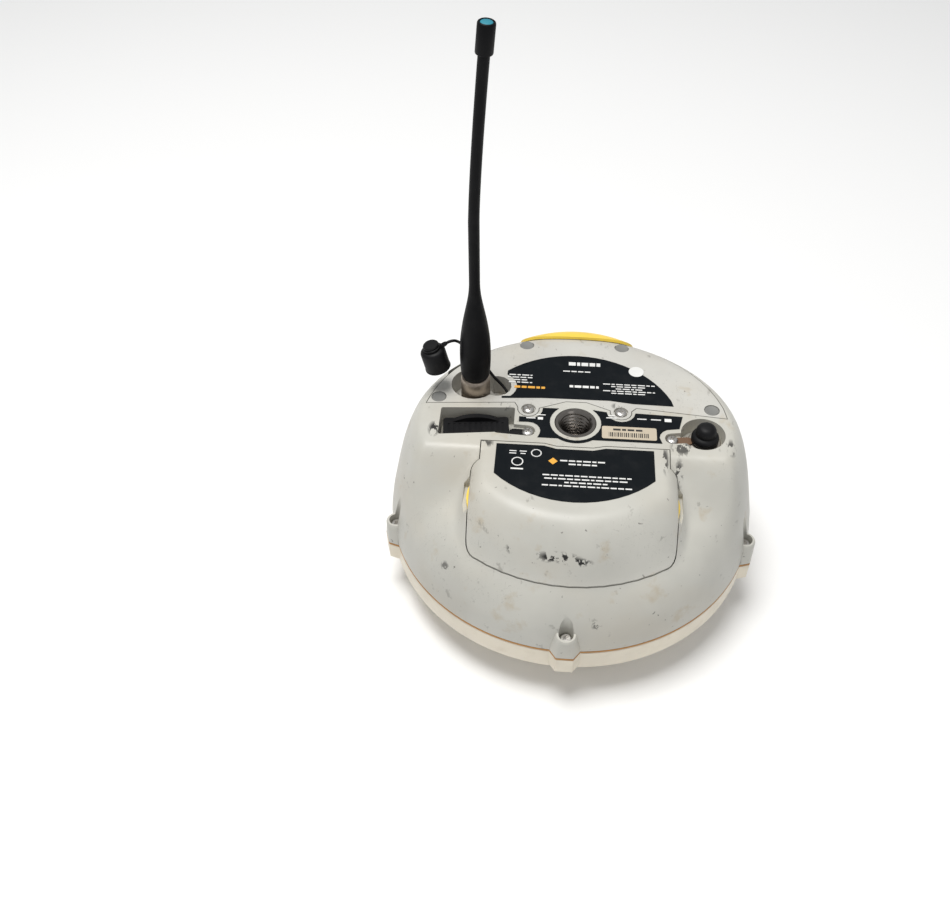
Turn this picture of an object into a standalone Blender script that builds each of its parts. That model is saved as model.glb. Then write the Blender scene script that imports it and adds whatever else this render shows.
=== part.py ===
"""GNSS survey receiver, upside down on its radome, with a radio whip on its underside.

Blender 4.5, metres, +Z up. Sizes below are millimetres and become metres through MM.
The origin is where the pole thread's axis meets the floor. The battery side faces -Y,
the yellow control panel faces +Y, and the radio whip stands at -X.
"""

import math

import bmesh
import bpy
from mathutils import Matrix, Vector

MM = 0.001
GAP = 0.3  # left between pieces that touch

# Body
SEAT_Z = 96.0  # the flat underside that a pole seats on
RIM_R = 95.0
RADOME_TOP = 34.2
GASKET_TOP = 35.5
HOUSING_BASE = GASKET_TOP + GAP
WALL = 3.0
BOWL_TOP = 80.0  # height of the finger recesses' floor
BOWL_POWER = 5.0
PLATEAU_HALF_X = 76.0
PLATEAU_HALF_Y = 58.5
PLATEAU_FOOT_R = 92.0
PLATEAU_DROP = 39.0
PLATEAU_FRONT_Y = -19.0
FRONT_SLOPE = 1.45
BULGE_FLAT_R = 58.0  # the battery bulge stays level out to here
BULGE_FOOT_R = 81.5
BULGE_FLAT_X = 42.0
BULGE_FOOT_X = 57.5
BULGE_DROP = 31.0
FALL_POWER = 2.2
BLEND_POWER = 4.0
FILLET = 6.0

# Rim fastenings, every 72 degrees from the front
EARS = 5
EAR_CENTRE_R = 93.3
EAR_R = 6.0
EAR_TOP = 47.0
WELL_R = 3.6
WELL_FLOOR = 42.0
WELL_CENTRE_R = 94.0
RIM_SCREW_HEAD_R = 2.7

# Pole thread, 5/8-11
THREAD_MINOR_R = 6.9
THREAD_MOUTH_R = 8.6
INSERT_R = 10.2
INSERT_DEPTH = 16.5

# Radio cover and antenna
COVER_CENTRE_Y = -7.8
COVER_R = 77.8
COVER_T = 2.6
SCREW_R = 3.0
SCREWS = ((-23.9, 8.4), (-23.4, -7.3), (22.7, 9.1), (47.6, -7.8))
COVER_EARS = (SCREWS[0], SCREWS[2])
EAR_PLATE_R = 5.4
PLUGS = ((-70.1, 14.4), (68.4, 14.0), (-27.0, 58.6), (23.8, 59.8))
PLUG_R = 3.6
ANTENNA = (-51.8, 22.0)
POCKET_CENTRE = (-53.0, 25.4)
POCKET_R = 11.7
LOBE_CENTRE = (-41.0, 24.5)
LOBE_R = 7.6
POCKET_FLOOR = 84.0
COLLAR_R = 7.5
COLLAR_TOP = 105.0
BOOT_R = 7.85
WHIP_R = 2.65
TIP_R = 3.8
TIP_BASE = 273.8
TIP_TOP = 287.4

# Ports
PORT_2 = ((-68.0, -12.8), (-30.6, -8.3), (-30.6, 8.9), (-68.0, 6.4))
PORT_2_CENTRE = (-49.8, -1.5)
PORT_2_LEAN = math.atan2(3.5, 37.4)
PORT_2_FLOOR = 84.0
PORT_1 = (63.7, -5.6)
PORT_1_POCKET = (62.9, -3.6)
PORT_1_POCKET_R = 10.9
PORT_1_FLOOR = 87.0

# Battery door
DOOR_HALF_X = 50.0
DOOR_TAB_X = 46.0
DOOR_BACK_Y = -15.6
DOOR_STEP_Y = -27.0
DOOR_R = 81.5
DOOR_CORNER_R = 9.0
DOOR_WALL = 2.4
DOOR_BASE = 61.0
LATCH_Y = -41.5
LATCH_LENGTH = 16.0
LATCH_REACH = 1.2  # how far a latch stands out of the door's wall
LATCH_Z = (81.0, 83.8)
NOTCH_TOP = 100.0
BATTERY_SIZE = (70.0, 38.4, 20.4)
BATTERY_CENTRE = (0.0, -39.2, 77.4)

LABEL_T = 0.2

FIRST_SPOKE = 0.37  # share of a sector that keeps a surface's spokes off the planes of symmetry

# Control panel, an oval on the far wall
PANEL_R = 78.5
PANEL_HALF_X = 31.0
PANEL_HALF_UP = 12.5
PANEL_T = 1.5
PANEL_CROWN = 2.4
PANEL_ROW = 4.5  # the controls sit this far below the panel's middle
BUTTON_X = -14.0
BUTTON_R = 5.2
LED_X = (2.0, 10.0, 18.0)
LED_R = 1.6

NAME = "gnss_receiver"


# ---------------------------------------------------------------- the shared outer surface


def smooth_max(a, b, k):
    h = max(k - abs(a - b), 0.0) / k
    return max(a, b) + h * h * k / 4.0


def fall(t, drop):
    return drop * max(t, 0.0) ** FALL_POWER


def surface_z(x, y):
    """Height of the grey underside: a shallow bowl, the plateau and the battery bulge."""
    r = math.hypot(x, y)
    bowl = HOUSING_BASE + (BOWL_TOP - HOUSING_BASE) * math.sqrt(max(1.0 - (r / RIM_R) ** BOWL_POWER, 0.0))
    plateau_r = r
    if r > 0.0:
        plateau_r = 1.0 / math.hypot(x / r / PLATEAU_HALF_X, y / r / PLATEAU_HALF_Y)
    side = fall((r - plateau_r) / (PLATEAU_FOOT_R - plateau_r), PLATEAU_DROP)
    ahead = max(PLATEAU_FRONT_Y - y, 0.0)
    front = FRONT_SLOPE * ahead * ahead / (ahead + 4.0)
    plateau = (side**BLEND_POWER + front**BLEND_POWER) ** (1.0 / BLEND_POWER)
    t_front = max(r - BULGE_FLAT_R, 0.0) / (BULGE_FOOT_R - BULGE_FLAT_R)
    t_side = max(abs(x) - BULGE_FLAT_X, 0.0) / (BULGE_FOOT_X - BULGE_FLAT_X)
    bulge = fall((t_front**BLEND_POWER + t_side**BLEND_POWER) ** (1.0 / BLEND_POWER), BULGE_DROP)
    both = (plateau**BLEND_POWER + bulge**BLEND_POWER) ** (1.0 / BLEND_POWER)
    drop = plateau * bulge / both if both > 0.0 else 0.0
    return smooth_max(bowl, SEAT_Z - drop, FILLET)


def surface_normal(x, y):
    step = 0.05
    slope_x = (surface_z(x + step, y) - surface_z(x - step, y)) / (2.0 * step)
    slope_y = (surface_z(x, y + step) - surface_z(x, y - step)) / (2.0 * step)
    return Vector((-slope_x, -slope_y, 1.0)).normalized()


# ---------------------------------------------------------------- modelling helpers


def clear_scene():
    for old in list(bpy.data.objects):
        bpy.data.objects.remove(old, do_unlink=True)


def make_collection(name):
    made = bpy.data.collections.new(name)
    bpy.context.scene.collection.children.link(made)
    return made


def make_material(name, colour, roughness, metallic=0.0):
    mat = bpy.data.materials.new(name)
    mat.use_nodes = True
    shader = mat.node_tree.nodes["Principled BSDF"]
    shader.inputs["Base Color"].default_value = (*colour, 1.0)
    shader.inputs["Roughness"].default_value = roughness
    shader.inputs["Metallic"].default_value = metallic
    return mat


class Shop:
    """Holds the collections and materials, and files each new object in its place."""

    def __init__(self):
        clear_scene()
        self.parts = make_collection(NAME)
        self.cutters = make_collection("cutters")
        self.materials = {
            "cream": make_material("cream_radome", (0.80, 0.74, 0.62), 0.45),
            "grey": make_material("grey_housing", (0.52, 0.50, 0.46), 0.5),
            "dark_grey": make_material("grey_plug", (0.24, 0.24, 0.23), 0.6),
            "amber": make_material("amber_seal", (0.42, 0.20, 0.05), 0.6),
            "yellow": make_material("yellow_plastic", (0.88, 0.62, 0.08), 0.45),
            "nickel": make_material("nickel", (0.66, 0.62, 0.56), 0.3, 1.0),
            "steel": make_material("steel", (0.60, 0.59, 0.57), 0.3, 1.0),
            "rubber": make_material("black_rubber", (0.015, 0.015, 0.016), 0.7),
            "label": make_material("black_label", (0.01, 0.012, 0.016), 0.35),
            "silver": make_material("silver_label", (0.60, 0.54, 0.44), 0.35),
            "teal": make_material("teal_mark", (0.01, 0.20, 0.28), 0.5),
            "white": make_material("white_plastic", (0.75, 0.75, 0.72), 0.5),
            "board": make_material("green_board", (0.02, 0.16, 0.06), 0.5),
            "ceramic": make_material("ceramic", (0.70, 0.66, 0.55), 0.6),
            "pack": make_material("battery_grey", (0.06, 0.06, 0.07), 0.5),
            "tin": make_material("tinned_can", (0.62, 0.62, 0.62), 0.35, 1.0),
        }

    def file(self, obj, material=None):
        """A part when it has a material, and otherwise a hidden cutter."""
        for owner in list(obj.users_collection):
            owner.objects.unlink(obj)
        obj.hide_render = material is None
        obj.display_type = "WIRE" if material is None else "TEXTURED"
        if material is None:
            self.cutters.objects.link(obj)
            return obj
        self.parts.objects.link(obj)
        obj.data.materials.clear()
        obj.data.materials.append(self.materials[material])
        return obj

    def mesh_object(self, name, bm, material=None, smooth=True):
        bmesh.ops.recalc_face_normals(bm, faces=bm.faces)
        mesh = bpy.data.meshes.new(name)
        bm.to_mesh(mesh)
        bm.free()
        if smooth:
            mesh.shade_smooth()
            mesh.set_sharp_from_angle(angle=math.radians(35.0))
        obj = bpy.data.objects.new(name, mesh)
        bpy.context.scene.collection.objects.link(obj)
        return self.file(obj, material)

    def box(self, name, size, centre, material=None, turn=0.0, bevel=0.0):
        bm = bmesh.new()
        bmesh.ops.create_cube(bm, size=1.0)
        bmesh.ops.scale(bm, vec=Vector(size) * MM, verts=bm.verts)
        obj = self.mesh_object(name, bm, material, smooth=False)
        obj.location = Vector(centre) * MM
        obj.rotation_euler.z = turn
        if bevel:
            edge = obj.modifiers.new("edges", "BEVEL")
            edge.width = bevel * MM
            edge.segments = 2
        return obj

    def cylinder(self, name, centre, radius, z0, z1, material=None, sides=16):
        bm = bmesh.new()
        bmesh.ops.create_cone(
            bm,
            cap_ends=True,
            segments=sides,
            radius1=radius * MM,
            radius2=radius * MM,
            depth=(z1 - z0) * MM,
        )
        bmesh.ops.translate(bm, vec=Vector((centre[0], centre[1], (z0 + z1) / 2.0)) * MM, verts=bm.verts)
        return self.mesh_object(name, bm, material)

    def turned(self, name, profile, material=None, centre=(0.0, 0.0), steps=32, closed=False):
        """A profile of (radius, height) pairs, outer side top to bottom, turned about Z."""
        mesh = bpy.data.meshes.new(name)
        bm = bmesh.new()
        verts = [bm.verts.new((r * MM, 0.0, z * MM)) for r, z in profile]
        for a, b in zip(verts, verts[1:], strict=False):
            bm.edges.new((a, b))
        if closed:
            bm.edges.new((verts[-1], verts[0]))
        bm.to_mesh(mesh)
        bm.free()
        obj = bpy.data.objects.new(name, mesh)
        bpy.context.scene.collection.objects.link(obj)
        obj.location = (centre[0] * MM, centre[1] * MM, 0.0)
        screw = obj.modifiers.new("turn", "SCREW")
        screw.steps = steps
        screw.render_steps = steps
        screw.use_merge_vertices = True
        screw.merge_threshold = 0.000001
        screw.use_smooth_shade = True
        return self.file(obj, material)

    def plate(self, name, outline, z0, z1, material=None, holes=()):
        """A flat outline with holes, from z0 to z1."""
        curve = bpy.data.curves.new(name, "CURVE")
        curve.dimensions = "2D"
        curve.fill_mode = "BOTH"
        curve.extrude = (z1 - z0) / 2.0 * MM
        for points in (outline, *holes):
            spline = curve.splines.new("POLY")
            spline.points.add(len(points) - 1)
            for point, (x, y) in zip(spline.points, points, strict=True):
                point.co = (x * MM, y * MM, 0.0, 1.0)
            spline.use_cyclic_u = True
        obj = bpy.data.objects.new(name, curve)
        bpy.context.scene.collection.objects.link(obj)
        obj.location.z = (z0 + z1) / 2.0 * MM
        return self.file(self.curve_to_mesh(obj), material)

    def tube(self, name, points, radius, material, sides_resolution=2, radii=None):
        """A tube along points; radii, one a point, vary its thickness."""
        curve = bpy.data.curves.new(name, "CURVE")
        curve.dimensions = "3D"
        curve.bevel_depth = radius * MM
        curve.bevel_resolution = sides_resolution
        curve.use_fill_caps = True
        spline = curve.splines.new("POLY")
        spline.points.add(len(points) - 1)
        for i, (point, place) in enumerate(zip(spline.points, points, strict=True)):
            point.co = (*(Vector(place) * MM), 1.0)
            point.radius = radii[i] / radius if radii else 1.0
        obj = bpy.data.objects.new(name, curve)
        bpy.context.scene.collection.objects.link(obj)
        return self.file(self.curve_to_mesh(obj, smooth=True), material)

    def curve_to_mesh(self, obj, smooth=False):
        bpy.context.view_layer.update()
        evaluated = obj.evaluated_get(bpy.context.evaluated_depsgraph_get())
        mesh = bpy.data.meshes.new_from_object(evaluated)
        bm = bmesh.new()
        bm.from_mesh(mesh)
        bmesh.ops.remove_doubles(bm, verts=bm.verts, dist=0.000001)
        bmesh.ops.recalc_face_normals(bm, faces=bm.faces)
        bm.to_mesh(mesh)
        bm.free()
        if smooth:
            mesh.shade_smooth()
            mesh.set_sharp_from_angle(angle=math.radians(35.0))
        made = bpy.data.objects.new(obj.name, mesh)
        made.matrix_world = obj.matrix_world
        name = obj.name
        bpy.data.objects.remove(obj, do_unlink=True)
        made.name = name
        bpy.context.scene.collection.objects.link(made)
        return made

    def under_surface(self, name, drop=0.0, shrink=0.0, base=HOUSING_BASE, rings=(), sectors=48):
        """The solid below the grey surface, which may be lowered and shrunk to make an inner one."""
        grow = RIM_R / (RIM_R - shrink)
        lean = FIRST_SPOKE * 2.0 * math.pi / sectors
        spoke = Vector((math.cos(lean), math.sin(lean), 0.0)) * (RIM_R - shrink)
        bm = bmesh.new()
        verts = [bm.verts.new((0.0, 0.0, 0.0))]
        verts += [bm.verts.new(spoke * t) for t in rings]
        edges = [bm.edges.new(pair) for pair in zip(verts, verts[1:], strict=False)]
        bmesh.ops.spin(
            bm,
            geom=[*verts, *edges],
            axis=(0.0, 0.0, 1.0),
            cent=(0.0, 0.0, 0.0),
            dvec=(0.0, 0.0, 0.0),
            angle=2.0 * math.pi,
            steps=sectors,
            use_merge=True,
        )
        bmesh.ops.remove_doubles(bm, verts=bm.verts, dist=0.01)
        for vert in bm.verts:
            vert.co.z = surface_z(vert.co.x * grow, vert.co.y * grow) - drop
        border = [edge for edge in bm.edges if edge.is_boundary]
        skirt = bmesh.ops.extrude_edge_only(bm, edges=border)["geom"]
        lower = [item for item in skirt if isinstance(item, bmesh.types.BMVert)]
        for vert in lower:
            vert.co.z = base
        bmesh.ops.contextual_create(bm, geom=[edge for edge in bm.edges if edge.is_boundary])
        bmesh.ops.scale(bm, vec=(MM, MM, MM), verts=bm.verts)
        bmesh.ops.remove_doubles(bm, verts=bm.verts, dist=0.000001)
        bmesh.ops.triangulate(bm, faces=[face for face in bm.faces if len(face.verts) == 4])
        return self.mesh_object(name, bm)


def ring_shares(*radii):
    """Rings of a surface as shares of the rim's radius."""
    return tuple(radius / RIM_R for radius in radii)


COVER_RINGS = ring_shares(58.5, 65.0, 70.0, 75.0, 80.0, 95.0)


def combine(obj, *others, how="DIFFERENCE"):
    for other in others:
        step = obj.modifiers.new(f"{how.lower()}_{other.name}", "BOOLEAN")
        step.operation = how
        step.solver = "EXACT"
        step.object = other
    return obj


def settle(obj, material_slots=1):
    """Fixes the modifiers' result as the object's own mesh."""
    bpy.context.view_layer.update()
    evaluated = obj.evaluated_get(bpy.context.evaluated_depsgraph_get())
    mesh = bpy.data.meshes.new_from_object(evaluated)
    obj.modifiers.clear()
    obj.data = mesh
    while len(mesh.materials) > material_slots:
        mesh.materials.pop()
    bm = bmesh.new()
    bm.from_mesh(mesh)
    bmesh.ops.dissolve_degenerate(bm, dist=0.00001, edges=bm.edges)
    bmesh.ops.dissolve_limit(bm, angle_limit=math.radians(0.2), verts=bm.verts, edges=bm.edges)
    bm.to_mesh(mesh)
    bm.free()
    mesh.shade_smooth()
    mesh.set_sharp_from_angle(angle=math.radians(30.0))
    return obj


def origin_at(obj, place):
    """Moves the object's origin and leaves its geometry where it is."""
    bpy.context.view_layer.update()
    obj.data.transform(Matrix.Translation(-Vector(place) * MM) @ obj.matrix_world)
    obj.matrix_world = Matrix.Translation(Vector(place) * MM)


# ---------------------------------------------------------------- outlines, in millimetres


def arc(centre, radius, start, end, count):
    """Points on an arc, angles in degrees."""
    return [
        (
            centre[0] + radius * math.cos(math.radians(start + (end - start) * i / count)),
            centre[1] + radius * math.sin(math.radians(start + (end - start) * i / count)),
        )
        for i in range(count + 1)
    ]


def grown(points, by):
    """The closed outline moved outward by a small distance; points run counter-clockwise."""
    moved = []
    for i, point in enumerate(points):
        here = Vector(point)
        before = (here - Vector(points[i - 1])).normalized()
        after = (Vector(points[(i + 1) % len(points)]) - here).normalized()
        out = Vector((before.y + after.y, -before.x - after.x)).normalized()
        reach = by / max(out.dot(Vector((after.y, -after.x))), 0.5)
        moved.append(tuple(here + out * reach))
    return moved


def circle(centre, radius, count=24):
    return arc(centre, radius, 0.0, 360.0 * (count - 1) / count, count - 1)


def cover_outline():
    """The D-shaped radio cover: an arc behind, and two screw ears along its front edge."""
    centre = (0.0, COVER_CENTRE_Y)
    points = [(-76.0, 9.4), (-31.0, 12.9)]
    for ear in COVER_EARS:
        points += arc(ear, EAR_PLATE_R, 170.0, 370.0, 8)
        points += [(-5.0, 15.1), (5.5, 15.1)] if ear is COVER_EARS[0] else []
    points += [(30.5, 12.7), (75.6, 8.2)]
    start = math.degrees(math.atan2(8.2 - COVER_CENTRE_Y, 75.6))
    points += arc(centre, COVER_R, start, 180.0 - start, 28)[1:-1]
    return points


def door_outline(grow=0.0):
    """The battery door seen from above: a tab at the back, straight sides and a bowed front."""
    half_x, front_r, corner_r = DOOR_HALF_X + grow, DOOR_R + grow, DOOR_CORNER_R + grow
    tab_x, back_y, step_y = DOOR_TAB_X + grow, DOOR_BACK_Y + grow, DOOR_STEP_Y + grow
    corner = (half_x - corner_r, -math.sqrt((front_r - corner_r) ** 2 - (half_x - corner_r) ** 2))
    lean = math.degrees(math.atan2(-corner[1], corner[0]))
    right = arc((0.0, 0.0), front_r, -90.0, -lean, 6)
    right += arc(corner, corner_r, -lean, 0.0, 4)[1:]
    right += arc((half_x - 3.0, step_y - 3.0), 3.0, 0.0, 90.0, 3)
    right += [(tab_x, step_y), (tab_x, back_y), (15.0, back_y), (9.0, back_y - 1.6)]
    left = [(-x, y) for x, y in reversed(right)]
    return right + left[:-1]


def capsule(start, end, radius, count=6):
    """A round-ended bar between two points."""
    lean = math.degrees(math.atan2(end[1] - start[1], end[0] - start[0]))
    return arc(end, radius, lean - 90.0, lean + 90.0, count) + arc(
        start, radius, lean + 90.0, lean + 270.0, count
    )


def rounded(points, radius, count=3):
    """The closed counter-clockwise outline with its corners rounded."""
    made = []
    for i, point in enumerate(points):
        here = Vector(point)
        to_before = (Vector(points[i - 1]) - here).normalized()
        to_after = (Vector(points[(i + 1) % len(points)]) - here).normalized()
        half = to_before.angle(to_after) / 2.0
        centre = here + (to_before + to_after).normalized() * radius / math.sin(half)
        first = here + to_before * radius / math.tan(half) - centre
        last = here + to_after * radius / math.tan(half) - centre
        for j in range(count + 1):
            made.append(tuple(centre + first.slerp(last, j / count).normalized() * radius))
    return made


def rim_places(radius):
    """The five rim fastenings, the first at the front."""
    return [
        (radius * math.cos(math.radians(-90.0 + 72.0 * i)), radius * math.sin(math.radians(-90.0 + 72.0 * i)))
        for i in range(EARS)
    ]


# ---------------------------------------------------------------- casings


def rim_cylinders(shop, name, places, radius, z0, z1, sides=12):
    """The same upright cylinder at each rim fastening, as one cutter of separate solids."""
    bm = bmesh.new()
    for x, y in places:
        bmesh.ops.create_cone(
            bm,
            cap_ends=True,
            segments=sides,
            radius1=radius * MM,
            radius2=radius * MM,
            depth=(z1 - z0) * MM,
            matrix=Matrix.Translation(Vector((x, y, (z0 + z1) / 2.0)) * MM),
        )
    return shop.mesh_object(name, bm)


def make_housing(shop):
    rings = ring_shares(50.0, 58.0, 65.0, 70.0, 75.0, 79.0, 82.5, 86.0, 89.5, 92.6, 94.4, 95.0)
    housing = shop.under_surface("housing", rings=rings)
    ears = rim_cylinders(shop, "ear_lugs", rim_places(EAR_CENTRE_R), EAR_R, HOUSING_BASE, EAR_TOP)
    cavity_rings = ring_shares(58.0, 72.0, 82.0, 90.0, 95.0)
    cavity_base = HOUSING_BASE - 4.0
    cavity = shop.under_surface("cavity", WALL, WALL, cavity_base, cavity_rings, sectors=24)
    solids = [
        rim_cylinders(shop, "ear_bosses", rim_places(EAR_CENTRE_R), EAR_R, 30.0, 70.0),
        shop.plate("tub_walls", door_outline(3.0), DOOR_BASE - 4.0, 100.0),
        shop.plate("port_2_walls", grown(PORT_2, 2.0), PORT_2_FLOOR - 2.0, 100.0),
        shop.cylinder("port_1_walls", PORT_1_POCKET, PORT_1_POCKET_R + 2.0, PORT_1_FLOOR - 2.0, 100.0),
        shop.cylinder("insert_boss", (0.0, 0.0), INSERT_R + 3.0, SEAT_Z - INSERT_DEPTH - 2.0, 100.0),
        shop.plate("cover_ledge", grown(cover_outline(), 1.5), 89.0, 100.0),
    ]
    combine(cavity, *solids)
    settle(cavity)
    combine(housing, ears, how="UNION")
    combine(housing, cavity)
    tub = shop.plate("tub", door_outline(GAP), DOOR_BASE - GAP, 100.0)
    plinth_top = BATTERY_CENTRE[2] - BATTERY_SIZE[2] / 2.0 - GAP
    plinth = shop.box("plinth", (60.0, 28.0, 12.0), (0.0, BATTERY_CENTRE[1], plinth_top - 6.0))
    combine(tub, plinth)
    notch_foot = LATCH_Z[0] - 0.6
    notch_size = (2.0 * DOOR_HALF_X + 6.0, LATCH_LENGTH + 1.0, NOTCH_TOP + 0.25 - notch_foot)
    notch = shop.box("latch_notches", notch_size, (0.0, LATCH_Y, notch_foot + notch_size[2] / 2.0))
    settle(combine(tub, notch, how="UNION"))
    cover_pocket = shop.plate("cover_pocket", grown(cover_outline(), GAP), 80.0, 100.0)
    lowered = shop.under_surface("cover_floor", drop=COVER_T + GAP, base=20.0, rings=COVER_RINGS, sectors=32)
    settle(combine(cover_pocket, lowered))
    window = ((-67.4, 11.4), (-44.0, 11.7), (-36.0, 16.0), (36.0, 17.5), (36.0, 54.0), (-48.0, 54.0))
    window = rounded((*window, (-67.4, 38.0)), 2.0)
    cutters = [
        rim_cylinders(shop, "wells", rim_places(WELL_CENTRE_R), WELL_R, WELL_FLOOR, 70.0),
        rim_cylinders(shop, "rim_holes", rim_places(WELL_CENTRE_R), 1.7, 30.0, 60.0, sides=8),
        tub,
        shop.plate("port_2_pocket", rounded(PORT_2, 1.2, 2), PORT_2_FLOOR, 100.0),
        shop.plate("port_2_hole", rounded(port_2_outline(15.0, 4.6), 2.0, 2), 70.0, 100.0),
        shop.plate("port_2_channel", capsule((-38.0, -6.4), SCREWS[1], 3.6), 93.6, 100.0),
        shop.cylinder("port_1_pocket", PORT_1_POCKET, PORT_1_POCKET_R, PORT_1_FLOOR, 100.0),
        shop.cylinder("port_1_hole", PORT_1, 5.4, 70.0, 100.0),
        shop.plate("port_1_channel", capsule(PORT_1, SCREWS[3], 3.6), 93.6, 100.0),
        shop.cylinder("insert_hole", (0.0, 0.0), INSERT_R + GAP, SEAT_Z - INSERT_DEPTH - GAP, 100.0, sides=32),
        cover_pocket,
        shop.plate("cover_window", window, 80.0, 100.0),
        on_wall(shop.box("panel_window", (42.0, 7.6, 14.0), (0.0, 0.0, 0.0)), 0.0, 0.0),
    ]
    for i, place in enumerate(SCREWS):
        cutters.append(shop.cylinder(f"screw_hole_{i + 1}", place, 1.6, 84.0, 100.0, sides=8))
    combine(housing, *cutters)
    settle(housing)
    return shop.file(housing, "grey")


def rim_lug(place):
    """The six-sided lug of the radome under one rim fastening."""
    lean = math.atan2(place[1], place[0])
    shape = ((92.6, -7.5), (94.6, -7.5), (99.3, -4.2), (99.3, 4.2), (94.6, 7.5), (92.6, 7.5))
    return [
        (x * math.cos(lean) - y * math.sin(lean), x * math.sin(lean) + y * math.cos(lean)) for x, y in shape
    ]


def make_radome(shop):
    inner = [(0.0, 3.0), (28.0, 3.0), (61.5, 6.4), (78.5, 11.4), (89.0, 21.0)]
    inner += [(89.0, 30.0), (92.0, 30.0), (92.0, RADOME_TOP)]
    outer = [(RIM_R, RADOME_TOP), (RIM_R, 22.5), (94.2, 21.2), (89.0, 15.2), (79.0, 8.2), (60.0, 2.8)]
    outer += [(28.0, 0.0), (0.0, 0.0)]
    radome = shop.turned("radome", inner + outer, steps=42)
    for i, place in enumerate(rim_places(WELL_CENTRE_R)):
        combine(radome, shop.plate(f"radome_lug_{i + 1}", rim_lug(place), 24.4, RADOME_TOP), how="UNION")
    combine(radome, rim_cylinders(shop, "radome_holes", rim_places(WELL_CENTRE_R), 1.7, 25.6, 60.0, sides=8))
    settle(radome)
    return shop.file(radome, "cream")


def make_gasket(shop):
    outline = []
    for i in range(EARS):
        middle = -90.0 + 72.0 * i
        lug = rim_lug((math.cos(math.radians(middle)), math.sin(math.radians(middle))))
        outline += lug[1:5]
        outline += arc((0.0, 0.0), RIM_R, middle + 6.0, middle + 66.0, 7)
    holes = [circle((0.0, 0.0), 91.0, 36)]
    holes += [circle(place, 1.9, 8) for place in rim_places(WELL_CENTRE_R)]
    return shop.plate("rim_gasket", outline, RADOME_TOP + GAP, GASKET_TOP, "amber", holes)


def make_rim_screws(shop):
    profile = [(0.0, 45.2), (2.3, 45.2), (RIM_SCREW_HEAD_R, 44.8), (RIM_SCREW_HEAD_R, 42.3)]
    profile += [(1.4, 42.3), (1.4, 26.2), (0.0, 25.9)]
    for i, place in enumerate(rim_places(WELL_CENTRE_R)):
        head = shop.turned(f"rim_screw_{i + 1}", profile, "steel", place, steps=14)
        combine(head, shop.cylinder(f"hex_socket_{i + 1}", place, 1.45, 43.4, 47.0, sides=6))


def cover_solid(shop):
    cover = shop.plate("radio_cover", cover_outline(), 80.0, 100.0)
    above = shop.under_surface("cover_skin", base=20.0, rings=COVER_RINGS)
    below = shop.under_surface("cover_underside", drop=COVER_T, base=10.0, rings=COVER_RINGS, sectors=32)
    combine(cover, above, how="INTERSECT")
    combine(cover, below)
    return cover


def pocket_outline(grow):
    """The antenna pocket: a round well with a smaller lobe on its right."""
    well_r = POCKET_R + grow
    lobe_r = LOBE_R + grow
    away = Vector(LOBE_CENTRE) - Vector(POCKET_CENTRE)
    apart = away.length
    along = (apart * apart + well_r * well_r - lobe_r * lobe_r) / (2.0 * apart)
    well_half = math.degrees(math.acos(along / well_r))
    lobe_half = math.degrees(math.acos((along - apart) / lobe_r))
    lean = math.degrees(math.atan2(away.y, away.x))
    points = arc(POCKET_CENTRE, well_r, lean + well_half, lean + 360.0 - well_half, 20)
    return points + arc(LOBE_CENTRE, lobe_r, lean - lobe_half, lean + lobe_half, 10)[1:-1]


def make_radio_cover(shop):
    cover = cover_solid(shop)
    walls = shop.plate("pocket_walls", pocket_outline(1.2), POCKET_FLOOR - 2.0, SEAT_Z - 1.1)
    combine(cover, walls, how="UNION")
    combine(cover, shop.plate("antenna_pocket", pocket_outline(0.0), POCKET_FLOOR, 100.0))
    combine(cover, shop.cylinder("jack_hole", ANTENNA, 5.9, 70.0, 100.0))
    for i, place in enumerate(COVER_EARS):
        combine(cover, shop.cylinder(f"ear_counterbore_{i + 1}", place, 3.7, 94.5, 100.0, sides=16))
        combine(cover, shop.cylinder(f"ear_hole_{i + 1}", place, 1.6, 80.0, 100.0, sides=8))
    for i, place in enumerate(PLUGS):
        foot = surface_z(*place) - 1.3
        combine(cover, shop.cylinder(f"plug_seat_{i + 1}", place, PLUG_R + GAP, foot, 100.0, sides=16))
    settle(cover)
    shop.file(cover, "grey")
    for i, place in enumerate(PLUGS):
        top = surface_z(*place)
        shop.cylinder(f"cover_plug_{i + 1}", place, PLUG_R, top - 1.3 + GAP, top - 0.15, "dark_grey", sides=16)


def make_insert(shop):
    foot = SEAT_Z - INSERT_DEPTH
    profile = [(0.0, foot + 1.6), (THREAD_MINOR_R, foot + 1.6), (THREAD_MINOR_R, SEAT_Z - 1.7)]
    profile += [(THREAD_MOUTH_R, SEAT_Z), (INSERT_R, SEAT_Z), (INSERT_R, foot), (0.0, foot)]
    shop.turned("pole_insert", profile, "nickel", steps=24)


def make_panel_screws(shop):
    for i, place in enumerate(SCREWS):
        foot = 94.8 if place in COVER_EARS else 94.3
        profile = [(0.0, foot + 1.9), (1.9, foot + 1.7), (SCREW_R, foot + 0.8), (SCREW_R, foot), (1.3, foot)]
        profile += [(1.3, 85.5), (0.0, 84.8)]
        screw = shop.turned(f"panel_screw_{i + 1}", profile, "steel", place, steps=12)
        for turn in (0.0, 90.0):
            slot = shop.box(
                f"cross_{i + 1}_{int(turn)}",
                (3.0, 0.7, 2.0),
                (place[0], place[1], foot + 1.9),
                turn=math.radians(turn + 25.0),
            )
            combine(screw, slot)


# ---------------------------------------------------------------- battery side


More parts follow.
